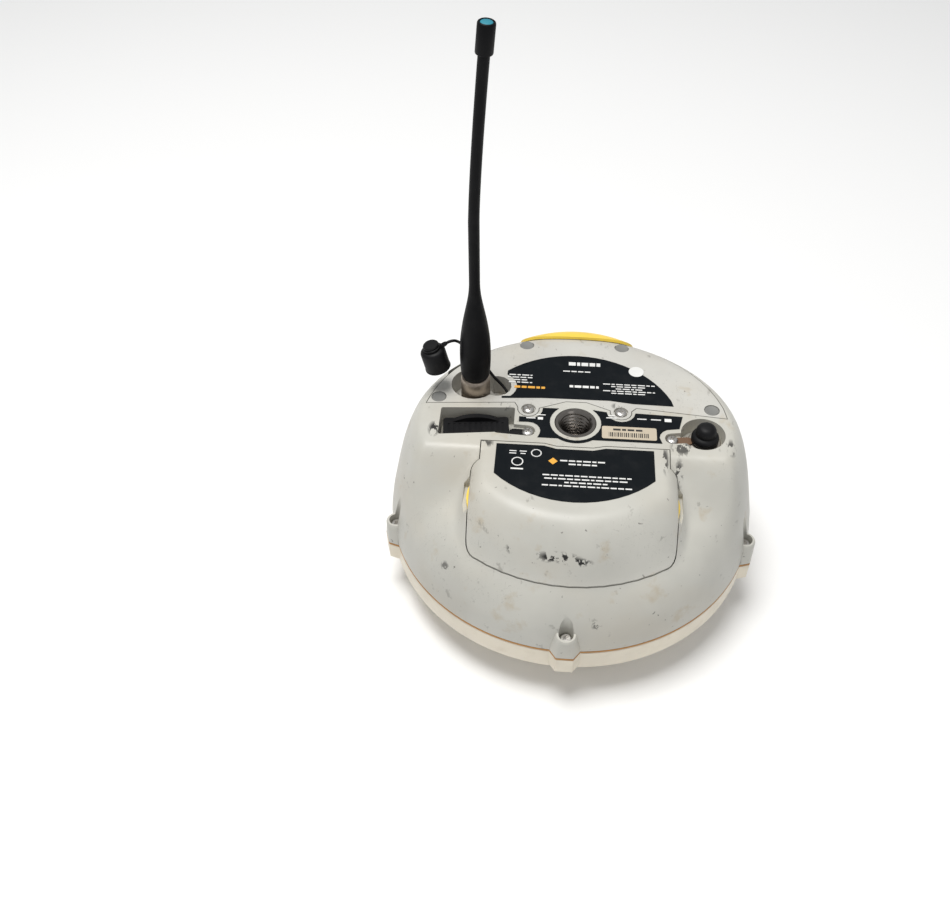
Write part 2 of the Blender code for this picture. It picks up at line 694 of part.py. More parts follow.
def make_door(shop):
    rings = ring_shares(54.0, 62.0, 68.0, 73.0, 77.0, 80.0, 83.0, 95.0)
    door = shop.plate("battery_door", door_outline(), DOOR_BASE, 100.0)
    combine(door, shop.under_surface("door_skin", base=20.0, rings=rings, sectors=40), how="INTERSECT")
    hollow = shop.plate("door_hollow", door_outline(-DOOR_WALL), DOOR_BASE - 4.0, 99.0)
    inside = shop.under_surface("door_underside", drop=DOOR_WALL, base=10.0, rings=rings, sectors=40)
    combine(hollow, inside, how="INTERSECT")
    settle(hollow)
    combine(door, hollow)
    for side in (-1.0, 1.0):
        slot_z = (LATCH_Z[0] + LATCH_Z[1]) / 2.0
        slot_size = (12.0, LATCH_LENGTH + 2.0 * GAP, LATCH_Z[1] - LATCH_Z[0] + 2.0 * GAP)
        combine(door, shop.box(f"latch_slot_{int(side)}", slot_size, (side * DOOR_HALF_X, LATCH_Y, slot_z)))
    settle(door)
    shop.file(door, "grey")


def latch_lens(side):
    """The shallow lens of a squeeze clip that stands out of the door's wall, seen from above."""
    half = LATCH_LENGTH / 2.0
    reach = LATCH_REACH + 0.4
    radius = (half * half + reach * reach) / (2.0 * reach)
    lean = math.degrees(math.asin(half / radius))
    lens = arc((DOOR_HALF_X + LATCH_REACH - radius, LATCH_Y), radius, -lean, lean, 10)
    lens += [(46.0, LATCH_Y + half), (46.0, LATCH_Y - half)]
    return mirrored(lens, side)


def mirrored(points, side):
    """The counter-clockwise outline as it is, or mirrored to -X."""
    if side > 0.0:
        return list(points)
    return [(-x, y) for x, y in reversed(points)]


def make_latches(shop):
    """Squeeze clips, each a lens outside the door's wall and a wider flange inside it."""
    for side, name in ((-1.0, "latch_left"), (1.0, "latch_right")):
        latch = shop.plate(name, latch_lens(side), *LATCH_Z)
        reach = LATCH_LENGTH / 2.0 + 1.0
        flange = [(44.8, LATCH_Y - reach), (47.25, LATCH_Y - reach)]
        flange += [(47.25, LATCH_Y + reach), (44.8, LATCH_Y + reach)]
        combine(latch, shop.plate(f"{name}_flange", mirrored(flange, side), *LATCH_Z), how="UNION")
        settle(latch)
        shop.file(latch, "yellow")


def make_battery(shop):
    shop.box("battery", BATTERY_SIZE, BATTERY_CENTRE, "pack", bevel=1.5)
    shop.box("battery_contacts", (3.2, 22.0, 18.0), (38.4, BATTERY_CENTRE[1], DOOR_BASE + 9.0), "white")


# ---------------------------------------------------------------- radio antenna


def whip_centre(z):
    """The whip leans slightly to the right above its straight lower half."""
    bent = max(z - 196.0, 0.0) / (TIP_TOP - 196.0)
    return (ANTENNA[0] + 6.0 * bent**1.35, ANTENNA[1], z)


def whip_radius(z):
    """A fat boot that narrows into the whip."""
    stations = ((105.3, 6.6), (107.0, 7.3), (113.0, 7.75), (121.0, BOOT_R), (130.0, 7.4), (139.0, 6.2))
    stations += ((147.0, 4.7), (154.0, 3.3), (160.0, WHIP_R), (273.0, 2.5))
    for (z0, r0), (z1, r1) in zip(stations, stations[1:], strict=False):
        if z <= z1:
            return r0 + (r1 - r0) * (z - z0) / (z1 - z0)
    return stations[-1][1]


def make_antenna(shop):
    shop.turned(
        "tnc_jack",
        [(4.9, 93.6), (5.5, 93.2), (5.5, 81.7), (7.5, 81.7), (7.5, 80.0), (2.4, 80.0), (2.4, 93.6)],
        "nickel",
        ANTENNA,
        steps=16,
        closed=True,
    )
    nut = shop.cylinder("tnc_nut", ANTENNA, 7.9, 85.6, 87.8, "nickel", sides=6)
    combine(nut, shop.cylinder("tnc_nut_bore", ANTENNA, 5.8, 80.0, 95.0))
    collar = [(6.3, COLLAR_TOP), (COLLAR_R, COLLAR_TOP - 1.2), (COLLAR_R, 88.4), (7.0, 88.1), (5.8, 88.1)]
    collar += [(5.8, 94.4), (2.6, 94.4), (2.6, COLLAR_TOP)]
    shop.turned("antenna_collar", collar, "nickel", ANTENNA, steps=16, closed=True)
    pin = [(0.0, 104.6), (2.3, 104.6), (2.3, 94.0), (1.9, 94.0), (1.9, 90.0), (0.6, 89.4), (0.0, 89.0)]
    shop.turned("antenna_pin", pin, "white", ANTENNA, steps=12)
    heights = [105.3, 107.0, 110.0, 115.0, 121.0, 128.0, 134.0, 140.0, 146.0, 152.0, 157.0, 161.0]
    heights += [180.0 + (TIP_BASE - 180.0) * i / 6.0 for i in range(7)]
    whip = shop.tube(
        "antenna_whip",
        [whip_centre(z) for z in heights],
        BOOT_R,
        "rubber",
        sides_resolution=4,
        radii=[whip_radius(z) for z in heights],
    )
    origin_at(whip, (*ANTENNA, 0.0))
    lean = math.atan2(whip_centre(TIP_TOP)[0] - whip_centre(TIP_BASE)[0], TIP_TOP - TIP_BASE)
    foot = Vector(whip_centre(TIP_BASE + GAP))
    length = TIP_TOP - TIP_BASE - 0.6
    tip = [(0.0, length - 1.2), (3.0, length - 1.2), (3.0, length), (TIP_R, length - 0.6)]
    tip += [(TIP_R, 0.5), (3.2, 0.0), (0.0, 0.0)]
    cap = shop.turned("antenna_tip", tip, "rubber", steps=16)
    disc = shop.turned(
        "antenna_tip_disc",
        [(0.0, length - 0.2), (2.6, length - 0.2), (2.6, length - 0.9), (0.0, length - 0.9)],
        "teal",
        steps=16,
    )
    for obj in (cap, disc):
        obj.location = foot * MM
        obj.rotation_euler.y = lean
        settle(obj)
        origin_at(obj, (*ANTENNA, 0.0))


CAP_FOOT = Vector((-70.9, 22.0, 109.2))  # the hanging cap's open end
CAP_LEAN = math.radians(-13.0)
NECK_HEIGHT = 13.1  # of the neck's groove above the cap's open end

FERRULE = (Vector((-69.13, 22.0, 123.05)), Vector((-66.0, 22.0, 125.4)))
LANYARD_ROUTE = (
    (-65.7, 22.0, 125.6),
    (-64.0, 22.6, 126.1),
    (-62.0, 24.6, 124.8),
    (-60.0, 27.6, 121.2),
    (-56.8, 31.2, 115.4),
    (-52.6, 33.6, 108.6),
    (-47.6, 33.0, 102.0),
    (-43.2, 30.4, 97.2),
    (-38.8, 28.8, 93.0),
    (-35.6, 25.6, 90.4),
    (-36.2, 21.6, 88.4),
    (-38.6, 19.6, 86.6),
    (-40.6, 19.4, 85.4),
    (-42.4, 19.9, 85.0),
)
LANYARD_R = 0.75


def smooth_route(points, spacing):
    """Points a fixed step apart on a smooth curve through the given ones."""
    places = [Vector(point) for point in points]
    ends = [2.0 * places[0] - places[1], *places, 2.0 * places[-1] - places[-2]]
    dense = []
    for a, b, c, d in zip(ends, ends[1:], ends[2:], ends[3:], strict=False):
        for i in range(20):
            t = i / 20.0
            square = (2.0 * a - 5.0 * b + 4.0 * c - d) * t * t
            cube = (3.0 * b - a - 3.0 * c + d) * t**3
            dense.append(0.5 * (2.0 * b + (c - a) * t + square + cube))
    dense.append(places[-1])
    route = [dense[0]]
    for point in dense:
        if (point - route[-1]).length >= spacing:
            route.append(point)
    route[-1] = dense[-1]
    return route


def make_dust_cap(shop):
    body = [(0.0, 15.2), (3.7, 15.2), (4.1, 14.7), (4.1, 14.2), (3.0, 13.9)]
    body += [(3.0, 12.3), (5.5, 11.8), (6.4, 10.5)]
    body += [(6.4, 1.0), (6.6, 0.7), (6.6, 0.0), (5.8, 0.0), (5.8, 9.6), (0.0, 9.6)]
    cap = shop.turned("dust_cap", body, "rubber", steps=16)
    ring = [(3.9 + x, NECK_HEIGHT + z) for x, z in reversed(circle((0.0, 0.0), 0.65, 6))]
    loop = shop.turned("lanyard_loop", ring, "rubber", steps=14, closed=True)
    for obj in (cap, loop):
        obj.location = CAP_FOOT * MM
        obj.rotation_euler.y = CAP_LEAN
    shop.tube("lanyard", smooth_route(LANYARD_ROUTE, 2.2), LANYARD_R, "rubber")
    start, end = FERRULE
    barrel = [start.lerp(end, i / 3.0) for i in range(4)]
    shop.tube("lanyard_ferrule", barrel, 1.2, "rubber", radii=[0.8, 1.2, 1.2, 0.8])
    tab = capsule((ANTENNA[0] + 6.0, ANTENNA[1] - 1.6), (-44.6, 20.2), 1.6)
    washer = shop.plate("lanyard_ring", circle(ANTENNA, 7.7, 16), 84.3, 85.3)
    combine(washer, shop.plate("ring_tab", tab, 84.35, 85.25), how="UNION")
    combine(washer, shop.cylinder("ring_bore", ANTENNA, 5.9, 80.0, 90.0, sides=14))
    settle(washer)
    shop.file(washer, "nickel")


# ---------------------------------------------------------------- ports


def port_2_outline(half_x, half_y):
    """A rectangle in line with the slightly turned serial port."""
    corners = ((-half_x, -half_y), (half_x, -half_y), (half_x, half_y), (-half_x, half_y))
    cos, sin = math.cos(PORT_2_LEAN), math.sin(PORT_2_LEAN)
    return [(PORT_2_CENTRE[0] + x * cos - y * sin, PORT_2_CENTRE[1] + x * sin + y * cos) for x, y in corners]


def make_port_2(shop):
    connector = shop.plate("port_2_connector", rounded(port_2_outline(14.4, 4.2), 1.8, 3), 80.0, 90.0)
    combine(connector, shop.plate("port_2_inside", rounded(port_2_outline(13.4, 3.2), 1.2, 3), 84.6, 95.0))
    settle(connector)
    shop.file(connector, "nickel")
    cap = shop.plate("port_2_cap", rounded(port_2_outline(16.6, 5.9), 1.6, 2), PORT_2_FLOOR + GAP, 92.0)
    tab = shop.plate("port_2_tab", arc((0.0, -16.8), 24.0, 54.0, 126.0, 10), -1.3, 1.3)
    tab.rotation_euler = (math.radians(90.0), 0.0, PORT_2_LEAN)
    tab.location = Vector((PORT_2_CENTRE[0] - 3.9 * math.sin(PORT_2_LEAN), PORT_2_CENTRE[1] + 3.9, 88.0)) * MM
    combine(cap, tab, how="UNION")
    combine(cap, shop.plate("port_2_cap_inside", rounded(port_2_outline(14.7, 4.5), 2.0, 3), 80.0, 90.4))
    settle(cap)
    shop.file(cap, "rubber")
    strap = shop.plate("port_2_strap", capsule((-30.2, -6.9), SCREWS[1], 2.6), 93.7, 94.0)
    hole = shop.cylinder("port_2_strap_hole", SCREWS[1], 1.7, 90.0, 99.0, sides=12)
    combine(strap, hole)
    settle(strap)
    shop.file(strap, "rubber")


def make_port_1(shop):
    barrel = [(6.3, 93.3), (7.9, 92.9), (8.3, 92.3), (8.3, PORT_1_FLOOR + GAP), (5.1, PORT_1_FLOOR + GAP)]
    barrel += [(5.1, 80.0), (4.0, 80.0), (4.0, 88.0), (5.9, 88.0), (5.9, 93.3)]
    shop.turned("port_1_connector", barrel, "nickel", PORT_1, steps=16, closed=True)
    cap = [(0.0, 103.4), (3.4, 103.1), (4.9, 101.6), (5.2, 99.4), (5.0, 98.3), (6.0, 97.6), (6.8, 96.2)]
    cap += [(6.8, 94.1), (5.5, 94.1), (5.5, 89.6), (0.0, 89.6)]
    shop.turned("port_1_cap", cap, "rubber", PORT_1, steps=16)
    strap = shop.plate("port_1_strap", capsule((55.4, -6.9), SCREWS[3], 2.6), 93.7, 94.0)
    combine(strap, shop.cylinder("port_1_strap_hole", SCREWS[3], 1.7, 90.0, 99.0, sides=12))
    settle(strap)
    shop.file(strap, "rubber")


# ---------------------------------------------------------------- labels


def upper_label_outline():
    """A half moon on the radio cover that gives way to the antenna pocket on its left."""
    points = [(-38.0, 15.4), (-17.0, 16.9), (17.0, 17.2), (29.0, 15.6), (49.3, 15.2)]
    points += arc((0.0, -1.9), 52.7, 23.6, 133.0, 20)
    points += arc(LOBE_CENTRE, 10.4, 62.0, -45.0, 8)
    return points + [(-38.0, 16.8)]


def middle_label_outline():
    """A band that wraps the pole insert and gives way to the four screws."""
    points = [(-18.6, -11.8), *arc((0.0, 0.0), 14.6, 234.0, 306.0, 8), (42.6, -11.8)]
    points += arc(SCREWS[3], 6.2, 180.0, 90.0, 4)
    points += [(51.4, -1.0), (53.4, 7.8), (30.2, 8.6)]
    points += arc(SCREWS[2], 7.2, -5.0, -175.0, 8)
    points += arc((0.0, 0.0), 12.8, 48.0, -228.0, 22)
    points += [(-16.6, 9.4)]
    points += arc(SCREWS[0], 7.2, -15.0, -60.0, 3)
    points += [(-28.3, 2.4), (-28.3, -1.3)]
    return points + arc(SCREWS[1], 6.1, 90.0, -20.0, 5)


def lower_label_outline():
    """A bowed label on the battery door with a dip that follows the door's edge."""
    lean = math.degrees(math.atan2(37.1, 38.3))
    points = arc((0.0, 0.0), 53.4, lean - 180.0, -lean, 16)
    return points + [(38.3, -17.4), (15.0, -17.4), (9.0, -19.2), (-9.0, -19.2), (-15.0, -17.4), (-38.3, -17.4)]


def make_labels(shop):
    foot = SEAT_Z + 0.05
    for name, outline in (
        ("label_upper", upper_label_outline()),
        ("label_middle", middle_label_outline()),
        ("label_lower", lower_label_outline()),
    ):
        shop.plate(name, outline, foot, foot + LABEL_T, "label")
    serial = rounded(((13.1, -10.3), (40.0, -10.3), (40.0, -1.7), (13.1, -1.7)), 1.0)
    shop.plate("serial_plate", serial, foot + LABEL_T + 0.05, foot + 2.0 * LABEL_T, "silver")


# ---------------------------------------------------------------- control panel on the far wall


def wall_point(across, up, out):
    """A point of the far wall: across to +X, up towards the floor, and out along its normal."""
    turn = across / PANEL_R
    radius = PANEL_R + up
    x, y = radius * math.sin(turn), radius * math.cos(turn)
    return Vector((x, y, surface_z(x, y))) + surface_normal(x, y) * out


def on_wall(obj, across, out):
    """Puts an object made about the origin on the control row, its Z along the wall's normal."""
    foot = wall_point(across, PANEL_ROW, out)
    outward = (wall_point(across, PANEL_ROW, out + 1.0) - foot).normalized()
    sideways = Vector((outward.y, -outward.x, 0.0)).normalized()
    turn = Matrix((sideways, outward.cross(sideways), outward)).transposed()
    obj.matrix_world = Matrix.Translation(foot * MM) @ turn.to_4x4()
    return obj


def panel_lift(share):
    """How far the panel's crown stands off the wall, at this share of the way to its edge."""
    return PANEL_T + GAP + PANEL_CROWN * (1.0 - share * share)


def make_front_panel(shop):
    bm = bmesh.new()
    shares = (0.0, 0.4, 0.75, 1.0)
    verts = [bm.verts.new((share, 0.0, 0.0)) for share in shares]
    edges = [bm.edges.new(pair) for pair in zip(verts, verts[1:], strict=False)]
    bmesh.ops.spin(
        bm,
        geom=[*verts, *edges],
        axis=(0.0, 0.0, 1.0),
        cent=(0.0, 0.0, 0.0),
        dvec=(0.0, 0.0, 0.0),
        angle=2.0 * math.pi,
        steps=24,
        use_merge=True,
    )
    bmesh.ops.remove_doubles(bm, verts=bm.verts, dist=0.001)
    for vert in bm.verts:
        share = math.hypot(vert.co.x, vert.co.y)
        across, up = vert.co.x * PANEL_HALF_X, vert.co.y * PANEL_HALF_UP
        vert.co = wall_point(across, -up, panel_lift(share)) * MM
    panel = shop.mesh_object("front_panel", bm)
    for polygon in panel.data.polygons[:1]:
        if polygon.normal.y < 0.0:
            panel.data.flip_normals()
    wall = panel.modifiers.new("wall", "SOLIDIFY")
    wall.thickness = PANEL_T * MM
    wall.offset = -1.0
    hole = shop.cylinder("button_hole", (0.0, 0.0), BUTTON_R + 0.35, -5.0, 12.0)
    combine(panel, on_wall(hole, BUTTON_X, 0.0))
    for i, across in enumerate(LED_X):
        hole = shop.cylinder(f"led_hole_{i + 1}", (0.0, 0.0), LED_R + 0.3, -5.0, 12.0, sides=12)
        combine(panel, on_wall(hole, across, 0.0))
    settle(panel)
    shop.file(panel, "yellow")


def lift_at(across):
    return panel_lift(math.hypot(across / PANEL_HALF_X, PANEL_ROW / PANEL_HALF_UP))


def make_controls(shop):
    crown = lift_at(BUTTON_X)
    foot = crown - PANEL_T - 0.3
    profile = [(0.0, crown + 0.9), (BUTTON_R - 1.0, crown + 0.8), (BUTTON_R, crown + 0.2), (BUTTON_R, foot)]
    profile += [(1.5, foot), (1.5, -4.5), (0.0, -4.5)]
    on_wall(shop.turned("power_button", profile, "white", steps=20), BUTTON_X, 0.0)
    for i, across in enumerate(LED_X):
        top = lift_at(across) + 0.3
        lens = [(0.0, top), (LED_R * 0.8, top - 0.3), (LED_R, top - 0.8), (LED_R, -4.6), (0.0, -4.6)]
        on_wall(shop.turned(f"led_lens_{i + 1}", lens, "white", steps=12), across, 0.0)
    on_wall(shop.box("panel_board", (42.0, 10.0, 1.6), (0.0, 0.0, 0.0), "board"), 0.0, -8.4)


def make_inside(shop):
    shop.cylinder("ground_plane", (0.0, 0.0), 91.6, 30.3, 31.6, "tin", sides=32)
    shop.cylinder("antenna_element", (0.0, 0.0), 38.0, 12.0, 30.0, "ceramic", sides=24)
    can = [(60.0, 41.0), (62.0, 40.0), (62.0, 31.9), (61.0, 31.9), (61.0, 39.6), (0.0, 39.6), (0.0, 41.0)]
    shop.turned("rf_shield", [can[-1], *can[:-1]], "tin", steps=24)
    shop.cylinder("main_board", (0.0, 0.0), 74.0, 41.3, 42.9, "board", sides=24)
    shop.box("radio_module", (56.0, 32.0, 12.0), (3.0, 36.0, 86.8), "tin", bevel=1.0)


def main():
    shop = Shop()
    make_radome(shop)
    make_housing(shop)
    make_gasket(shop)
    make_rim_screws(shop)
    make_radio_cover(shop)
    make_insert(shop)
    make_panel_screws(shop)
    make_door(shop)
    make_latches(shop)
    make_battery(shop)
    make_antenna(shop)
    make_dust_cap(shop)
    make_port_2(shop)
    make_port_1(shop)
    make_labels(shop)
    make_front_panel(shop)
    make_controls(shop)
    make_inside(shop)


main()
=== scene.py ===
"""Looks of the GNSS receiver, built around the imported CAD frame. Sizes are millimetres times MM."""

import math

import bmesh
import bpy
from mathutils import Matrix, Vector


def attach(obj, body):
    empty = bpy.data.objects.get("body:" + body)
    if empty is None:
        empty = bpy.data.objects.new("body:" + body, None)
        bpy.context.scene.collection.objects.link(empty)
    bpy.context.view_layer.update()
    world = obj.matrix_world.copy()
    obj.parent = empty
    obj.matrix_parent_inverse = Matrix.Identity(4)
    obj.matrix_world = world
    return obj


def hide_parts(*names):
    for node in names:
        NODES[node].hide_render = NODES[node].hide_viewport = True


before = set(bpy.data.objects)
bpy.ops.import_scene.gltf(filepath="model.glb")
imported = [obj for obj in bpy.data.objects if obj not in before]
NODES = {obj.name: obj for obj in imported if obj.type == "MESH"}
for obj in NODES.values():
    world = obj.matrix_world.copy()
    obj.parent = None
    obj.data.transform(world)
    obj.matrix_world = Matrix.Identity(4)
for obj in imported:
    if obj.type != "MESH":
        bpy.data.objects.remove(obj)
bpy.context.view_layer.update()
UNIT = "unit"

MM = 0.001
GAP = 0.3  # left between pieces that touch


# Body
SEAT_Z = 96.0  # the flat underside that a pole seats on
RIM_R = 95.0
RADOME_TOP = 34.2
GASKET_TOP = 35.5
HOUSING_BASE = GASKET_TOP + GAP
WALL = 3.0
BOWL_TOP = 80.0  # height of the finger recesses' floor
BOWL_POWER = 5.0
PLATEAU_HALF_X = 76.0
PLATEAU_HALF_Y = 58.5
PLATEAU_FOOT_R = 92.0
PLATEAU_DROP = 39.0
PLATEAU_FRONT_Y = -19.0
FRONT_SLOPE = 1.45
BULGE_FLAT_R = 58.0  # the battery bulge stays level out to here
BULGE_FOOT_R = 81.5
BULGE_FLAT_X = 42.0
BULGE_FOOT_X = 57.5
BULGE_DROP = 31.0
FALL_POWER = 2.2
BLEND_POWER = 4.0
FILLET = 6.0

# Rim fastenings, every 72 degrees from the front
EARS = 5
EAR_CENTRE_R = 93.3
EAR_R = 6.0
EAR_TOP = 47.0
WELL_R = 3.6
WELL_FLOOR = 42.0
WELL_CENTRE_R = 94.0
RIM_SCREW_HEAD_R = 2.7

# Pole thread, 5/8-11
THREAD_MINOR_R = 6.9
THREAD_MOUTH_R = 8.6
INSERT_R = 10.2
INSERT_DEPTH = 16.5

# Radio cover and antenna
COVER_CENTRE_Y = -7.8
COVER_R = 77.8
COVER_T = 2.6
SCREW_R = 3.0
SCREWS = ((-23.9, 8.4), (-23.4, -7.3), (22.7, 9.1), (47.6, -7.8))
COVER_EARS = (SCREWS[0], SCREWS[2])
EAR_PLATE_R = 5.4
PLUGS = ((-70.1, 14.4), (68.4, 14.0), (-27.0, 58.6), (23.8, 59.8))
PLUG_R = 3.6
ANTENNA = (-51.8, 22.0)
POCKET_CENTRE = (-53.0, 25.4)
POCKET_R = 11.7
LOBE_CENTRE = (-41.0, 24.5)
LOBE_R = 7.6
POCKET_FLOOR = 84.0
COLLAR_R = 7.5
COLLAR_TOP = 105.0
BOOT_R = 7.85
WHIP_R = 2.65
TIP_R = 3.8
TIP_BASE = 273.8
TIP_TOP = 287.4

# Ports
PORT_2 = ((-68.0, -12.8), (-30.6, -8.3), (-30.6, 8.9), (-68.0, 6.4))
PORT_2_CENTRE = (-49.8, -1.5)
PORT_2_LEAN = math.atan2(3.5, 37.4)
PORT_2_FLOOR = 84.0
PORT_1 = (63.7, -5.6)
PORT_1_POCKET = (62.9, -3.6)
PORT_1_POCKET_R = 10.9
PORT_1_FLOOR = 87.0

# Battery door
DOOR_HALF_X = 50.0
DOOR_TAB_X = 46.0
DOOR_BACK_Y = -15.6
DOOR_STEP_Y = -27.0
DOOR_R = 81.5
DOOR_CORNER_R = 9.0
DOOR_WALL = 2.4
DOOR_BASE = 61.0
LATCH_Y = -41.5
LATCH_LENGTH = 16.0
LATCH_Z = (81.0, 83.8)
NOTCH_TOP = 100.0
BATTERY_SIZE = (70.0, 38.4, 20.4)
BATTERY_CENTRE = (0.0, -39.2, 77.4)

LABEL_T = 0.2

FIRST_SPOKE = 0.37  # share of a sector that keeps a surface's spokes off the planes of symmetry

# Control panel, an oval on the far wall
PANEL_R = 78.5
PANEL_HALF_X = 31.0
PANEL_HALF_UP = 12.5
PANEL_T = 1.5
PANEL_CROWN = 2.4
PANEL_ROW = 4.5  # the controls sit this far below the panel's middle
BUTTON_X = -14.0
BUTTON_R = 5.2
LED_X = (2.0, 10.0, 18.0)
LED_R = 1.6


CAMERA_PLACE = (-15.434, -379.026, 461.890)
CAMERA_TURN = (-5.309, 46.155, -0.782)  # yaw, degrees down, roll
CAMERA_LENS = 39.79
WORLD_LIGHT = 0.40
KEY_LIGHT = 22.0
FRONT_LIGHT = 1.2
SECTORS = 160  # round the rebuilt shells
SEAM = 0.2  # extra gap that makes the door's seam read
FINE_STEP = 2.2  # between the rings of a surface that shows
THREAD_PITCH = 25.4 / 11.0


# ---------------------------------------------------------------- camera and light


def make_camera():
    data = bpy.data.cameras.new("camera")
    data.sensor_width = 36.0
    data.lens = CAMERA_LENS
    data.clip_start, data.clip_end = 0.01, 20.0
    camera = bpy.data.objects.new("camera", data)
    bpy.context.scene.collection.objects.link(camera)
    yaw, pitch, roll = (math.radians(a) for a in CAMERA_TURN)
    ahead = Vector((math.sin(yaw) * math.cos(pitch), math.cos(yaw) * math.cos(pitch), -math.sin(pitch)))
    side = Vector((math.cos(yaw), -math.sin(yaw), 0.0))
    up = side.cross(ahead)
    right = side * math.cos(roll) + up * math.sin(roll)
    over = up * math.cos(roll) - side * math.sin(roll)
    turn = Matrix((right, over, -ahead)).transposed()
    camera.matrix_world = Matrix.Translation(Vector(CAMERA_PLACE) * MM) @ turn.to_4x4()
    bpy.context.scene.camera = camera


def area_light(name, place, target, size, power, colour=(1.0, 1.0, 1.0)):
    data = bpy.data.lights.new(name, "AREA")
    data.shape = "DISK"
    data.size = size
    data.energy = power
    data.color = colour
    light = bpy.data.objects.new(name, data)
    bpy.context.scene.collection.objects.link(light)
    light.location = place
    light.rotation_euler = (Vector(target) - Vector(place)).to_track_quat("-Z", "Y").to_euler()


def make_studio():
    world = bpy.data.worlds.new("studio")
    world.use_nodes = True
    background = world.node_tree.nodes["Background"]
    background.inputs["Color"].default_value = (0.97, 0.985, 1.0, 1.0)
    background.inputs["Strength"].default_value = WORLD_LIGHT
    bpy.context.scene.world = world
    area_light("key", (-0.25, -0.02, 1.6), (0.0, 0.0, 0.05), 0.8, KEY_LIGHT, (1.0, 0.99, 0.97))
    area_light("front", (0.75, -1.2, 0.9), (0.0, 0.0, 0.05), 0.9, FRONT_LIGHT)
    bpy.context.scene.view_settings.view_transform = "Standard"
    bm = bmesh.new()
    bmesh.ops.create_grid(bm, x_segments=4, y_segments=4, size=3.0)
    mesh = bpy.data.meshes.new("floor")
    bm.to_mesh(mesh)
    bm.free()
    floor = bpy.data.objects.new("floor", mesh)
    bpy.context.scene.collection.objects.link(floor)
    floor.location.z = -0.0004
    look = bpy.data.materials.new("floor_white")
    look.use_nodes = True
    shader = look.node_tree.nodes["Principled BSDF"]
    shader.inputs["Base Color"].default_value = (0.93, 0.93, 0.93, 1.0)
    shader.inputs["Roughness"].default_value = 0.6
    mesh.materials.append(look)


# ---------------------------------------------------------------- materials


class Look:
    """A Principled material whose colour, roughness and bump are built from layers."""

    def __init__(self, name, colour, roughness, metallic=0.0, shine=0.5):
        self.material = bpy.data.materials.new(name)
        self.material.use_nodes = True
        self.tree = self.material.node_tree
        self.shader = self.tree.nodes["Principled BSDF"]
        self.shader.inputs["Metallic"].default_value = metallic
        self.shader.inputs["Roughness"].default_value = roughness
        self.shader.inputs["Base Color"].default_value = (*colour, 1.0)
        self.shader.inputs["Specular IOR Level"].default_value = shine
        self.place = self.tree.nodes.new("ShaderNodeTexCoord").outputs["Object"]
        self.colour = None
        self.base = (*colour, 1.0)
        self.rough = None
        self.bump = None

    def node(self, kind, **settings):
        made = self.tree.nodes.new(kind)
        for key, value in settings.items():
            setattr(made, key, value)
        return made

    def join(self, source, socket):
        self.tree.links.new(source, socket)

    def mapped(self, scale, turn=(0.0, 0.0, 0.0)):
        """The object's place, stretched along its axes and turned."""
        node = self.node("ShaderNodeMapping")
        self.join(self.place, node.inputs["Vector"])
        node.inputs["Scale"].default_value = scale
        node.inputs["Rotation"].default_value = [math.radians(a) for a in turn]
        return node.outputs["Vector"]

    def noise(self, scale, detail=3.0, stretch=(1.0, 1.0, 1.0), turn=(0.0, 0.0, 0.0), rough=0.55):
        node = self.node("ShaderNodeTexNoise")
        self.join(self.mapped(stretch, turn), node.inputs["Vector"])
        node.inputs["Scale"].default_value = scale
        node.inputs["Detail"].default_value = detail
        node.inputs["Roughness"].default_value = rough
        return node.outputs["Fac"]

    def between(self, value, low, high, to_low=0.0, to_high=1.0):
        node = self.node("ShaderNodeMapRange")
        self.join(value, node.inputs["Value"])
        node.inputs["From Min"].default_value = low
        node.inputs["From Max"].default_value = high
        node.inputs["To Min"].default_value = to_low
        node.inputs["To Max"].default_value = to_high
        return node.outputs["Result"]

    def math(self, how, a, b):
        node = self.node("ShaderNodeMath", operation=how)
        for socket, value in zip(node.inputs, (a, b), strict=False):
            if isinstance(value, (int, float)):
                socket.default_value = value
            else:
                self.join(value, socket)
        return node.outputs["Value"]

    def near(self, centre, radius, squash=(1.0, 1.0, 1.0)):
        """1 inside an ellipsoid about centre, fading to 0 at its edge; millimetres."""
        offset = self.node("ShaderNodeVectorMath", operation="SUBTRACT")
        self.join(self.place, offset.inputs[0])
        offset.inputs[1].default_value = [c * MM for c in centre]
        shaped = self.node("ShaderNodeVectorMath", operation="MULTIPLY")
        self.join(offset.outputs[0], shaped.inputs[0])
        shaped.inputs[1].default_value = squash
        length = self.node("ShaderNodeVectorMath", operation="LENGTH")
        self.join(shaped.outputs[0], length.inputs[0])
        return self.between(length.outputs["Value"], radius * MM, radius * 0.45 * MM)

    def tint(self, mask, colour, amount=1.0):
        """Mixes a colour in where mask is 1."""
        node = self.node("ShaderNodeMix", data_type="RGBA")
        strength = self.math("MULTIPLY", mask, amount)
        self.join(strength, node.inputs["Factor"])
        if self.colour is None:
            node.inputs["A"].default_value = self.base
        else:
            self.join(self.colour, node.inputs["A"])
        node.inputs["B"].default_value = (*colour, 1.0)
        self.colour = node.outputs["Result"]
        return self

    def gloss(self, mask, low, high):
        """Roughness runs from low to high as mask runs from 0 to 1."""
        self.rough = self.between(mask, 0.0, 1.0, low, high)
        return self

    def relief(self, height, depth, strength=1.0):
        """Adds a height field, depth in millimetres."""
        node = self.node("ShaderNodeBump")
        node.inputs["Strength"].default_value = strength
        node.inputs["Distance"].default_value = depth * MM
        self.join(height, node.inputs["Height"])
        if self.bump is not None:
            self.join(self.bump, node.inputs["Normal"])
        self.bump = node.outputs["Normal"]
        return self

    def done(self):
        if self.colour is not None:
            self.join(self.colour, self.shader.inputs["Base Color"])
        if self.rough is not None:
            self.join(self.rough, self.shader.inputs["Roughness"])
        if self.bump is not None:
            self.join(self.bump, self.shader.inputs["Normal"])
        return self.material


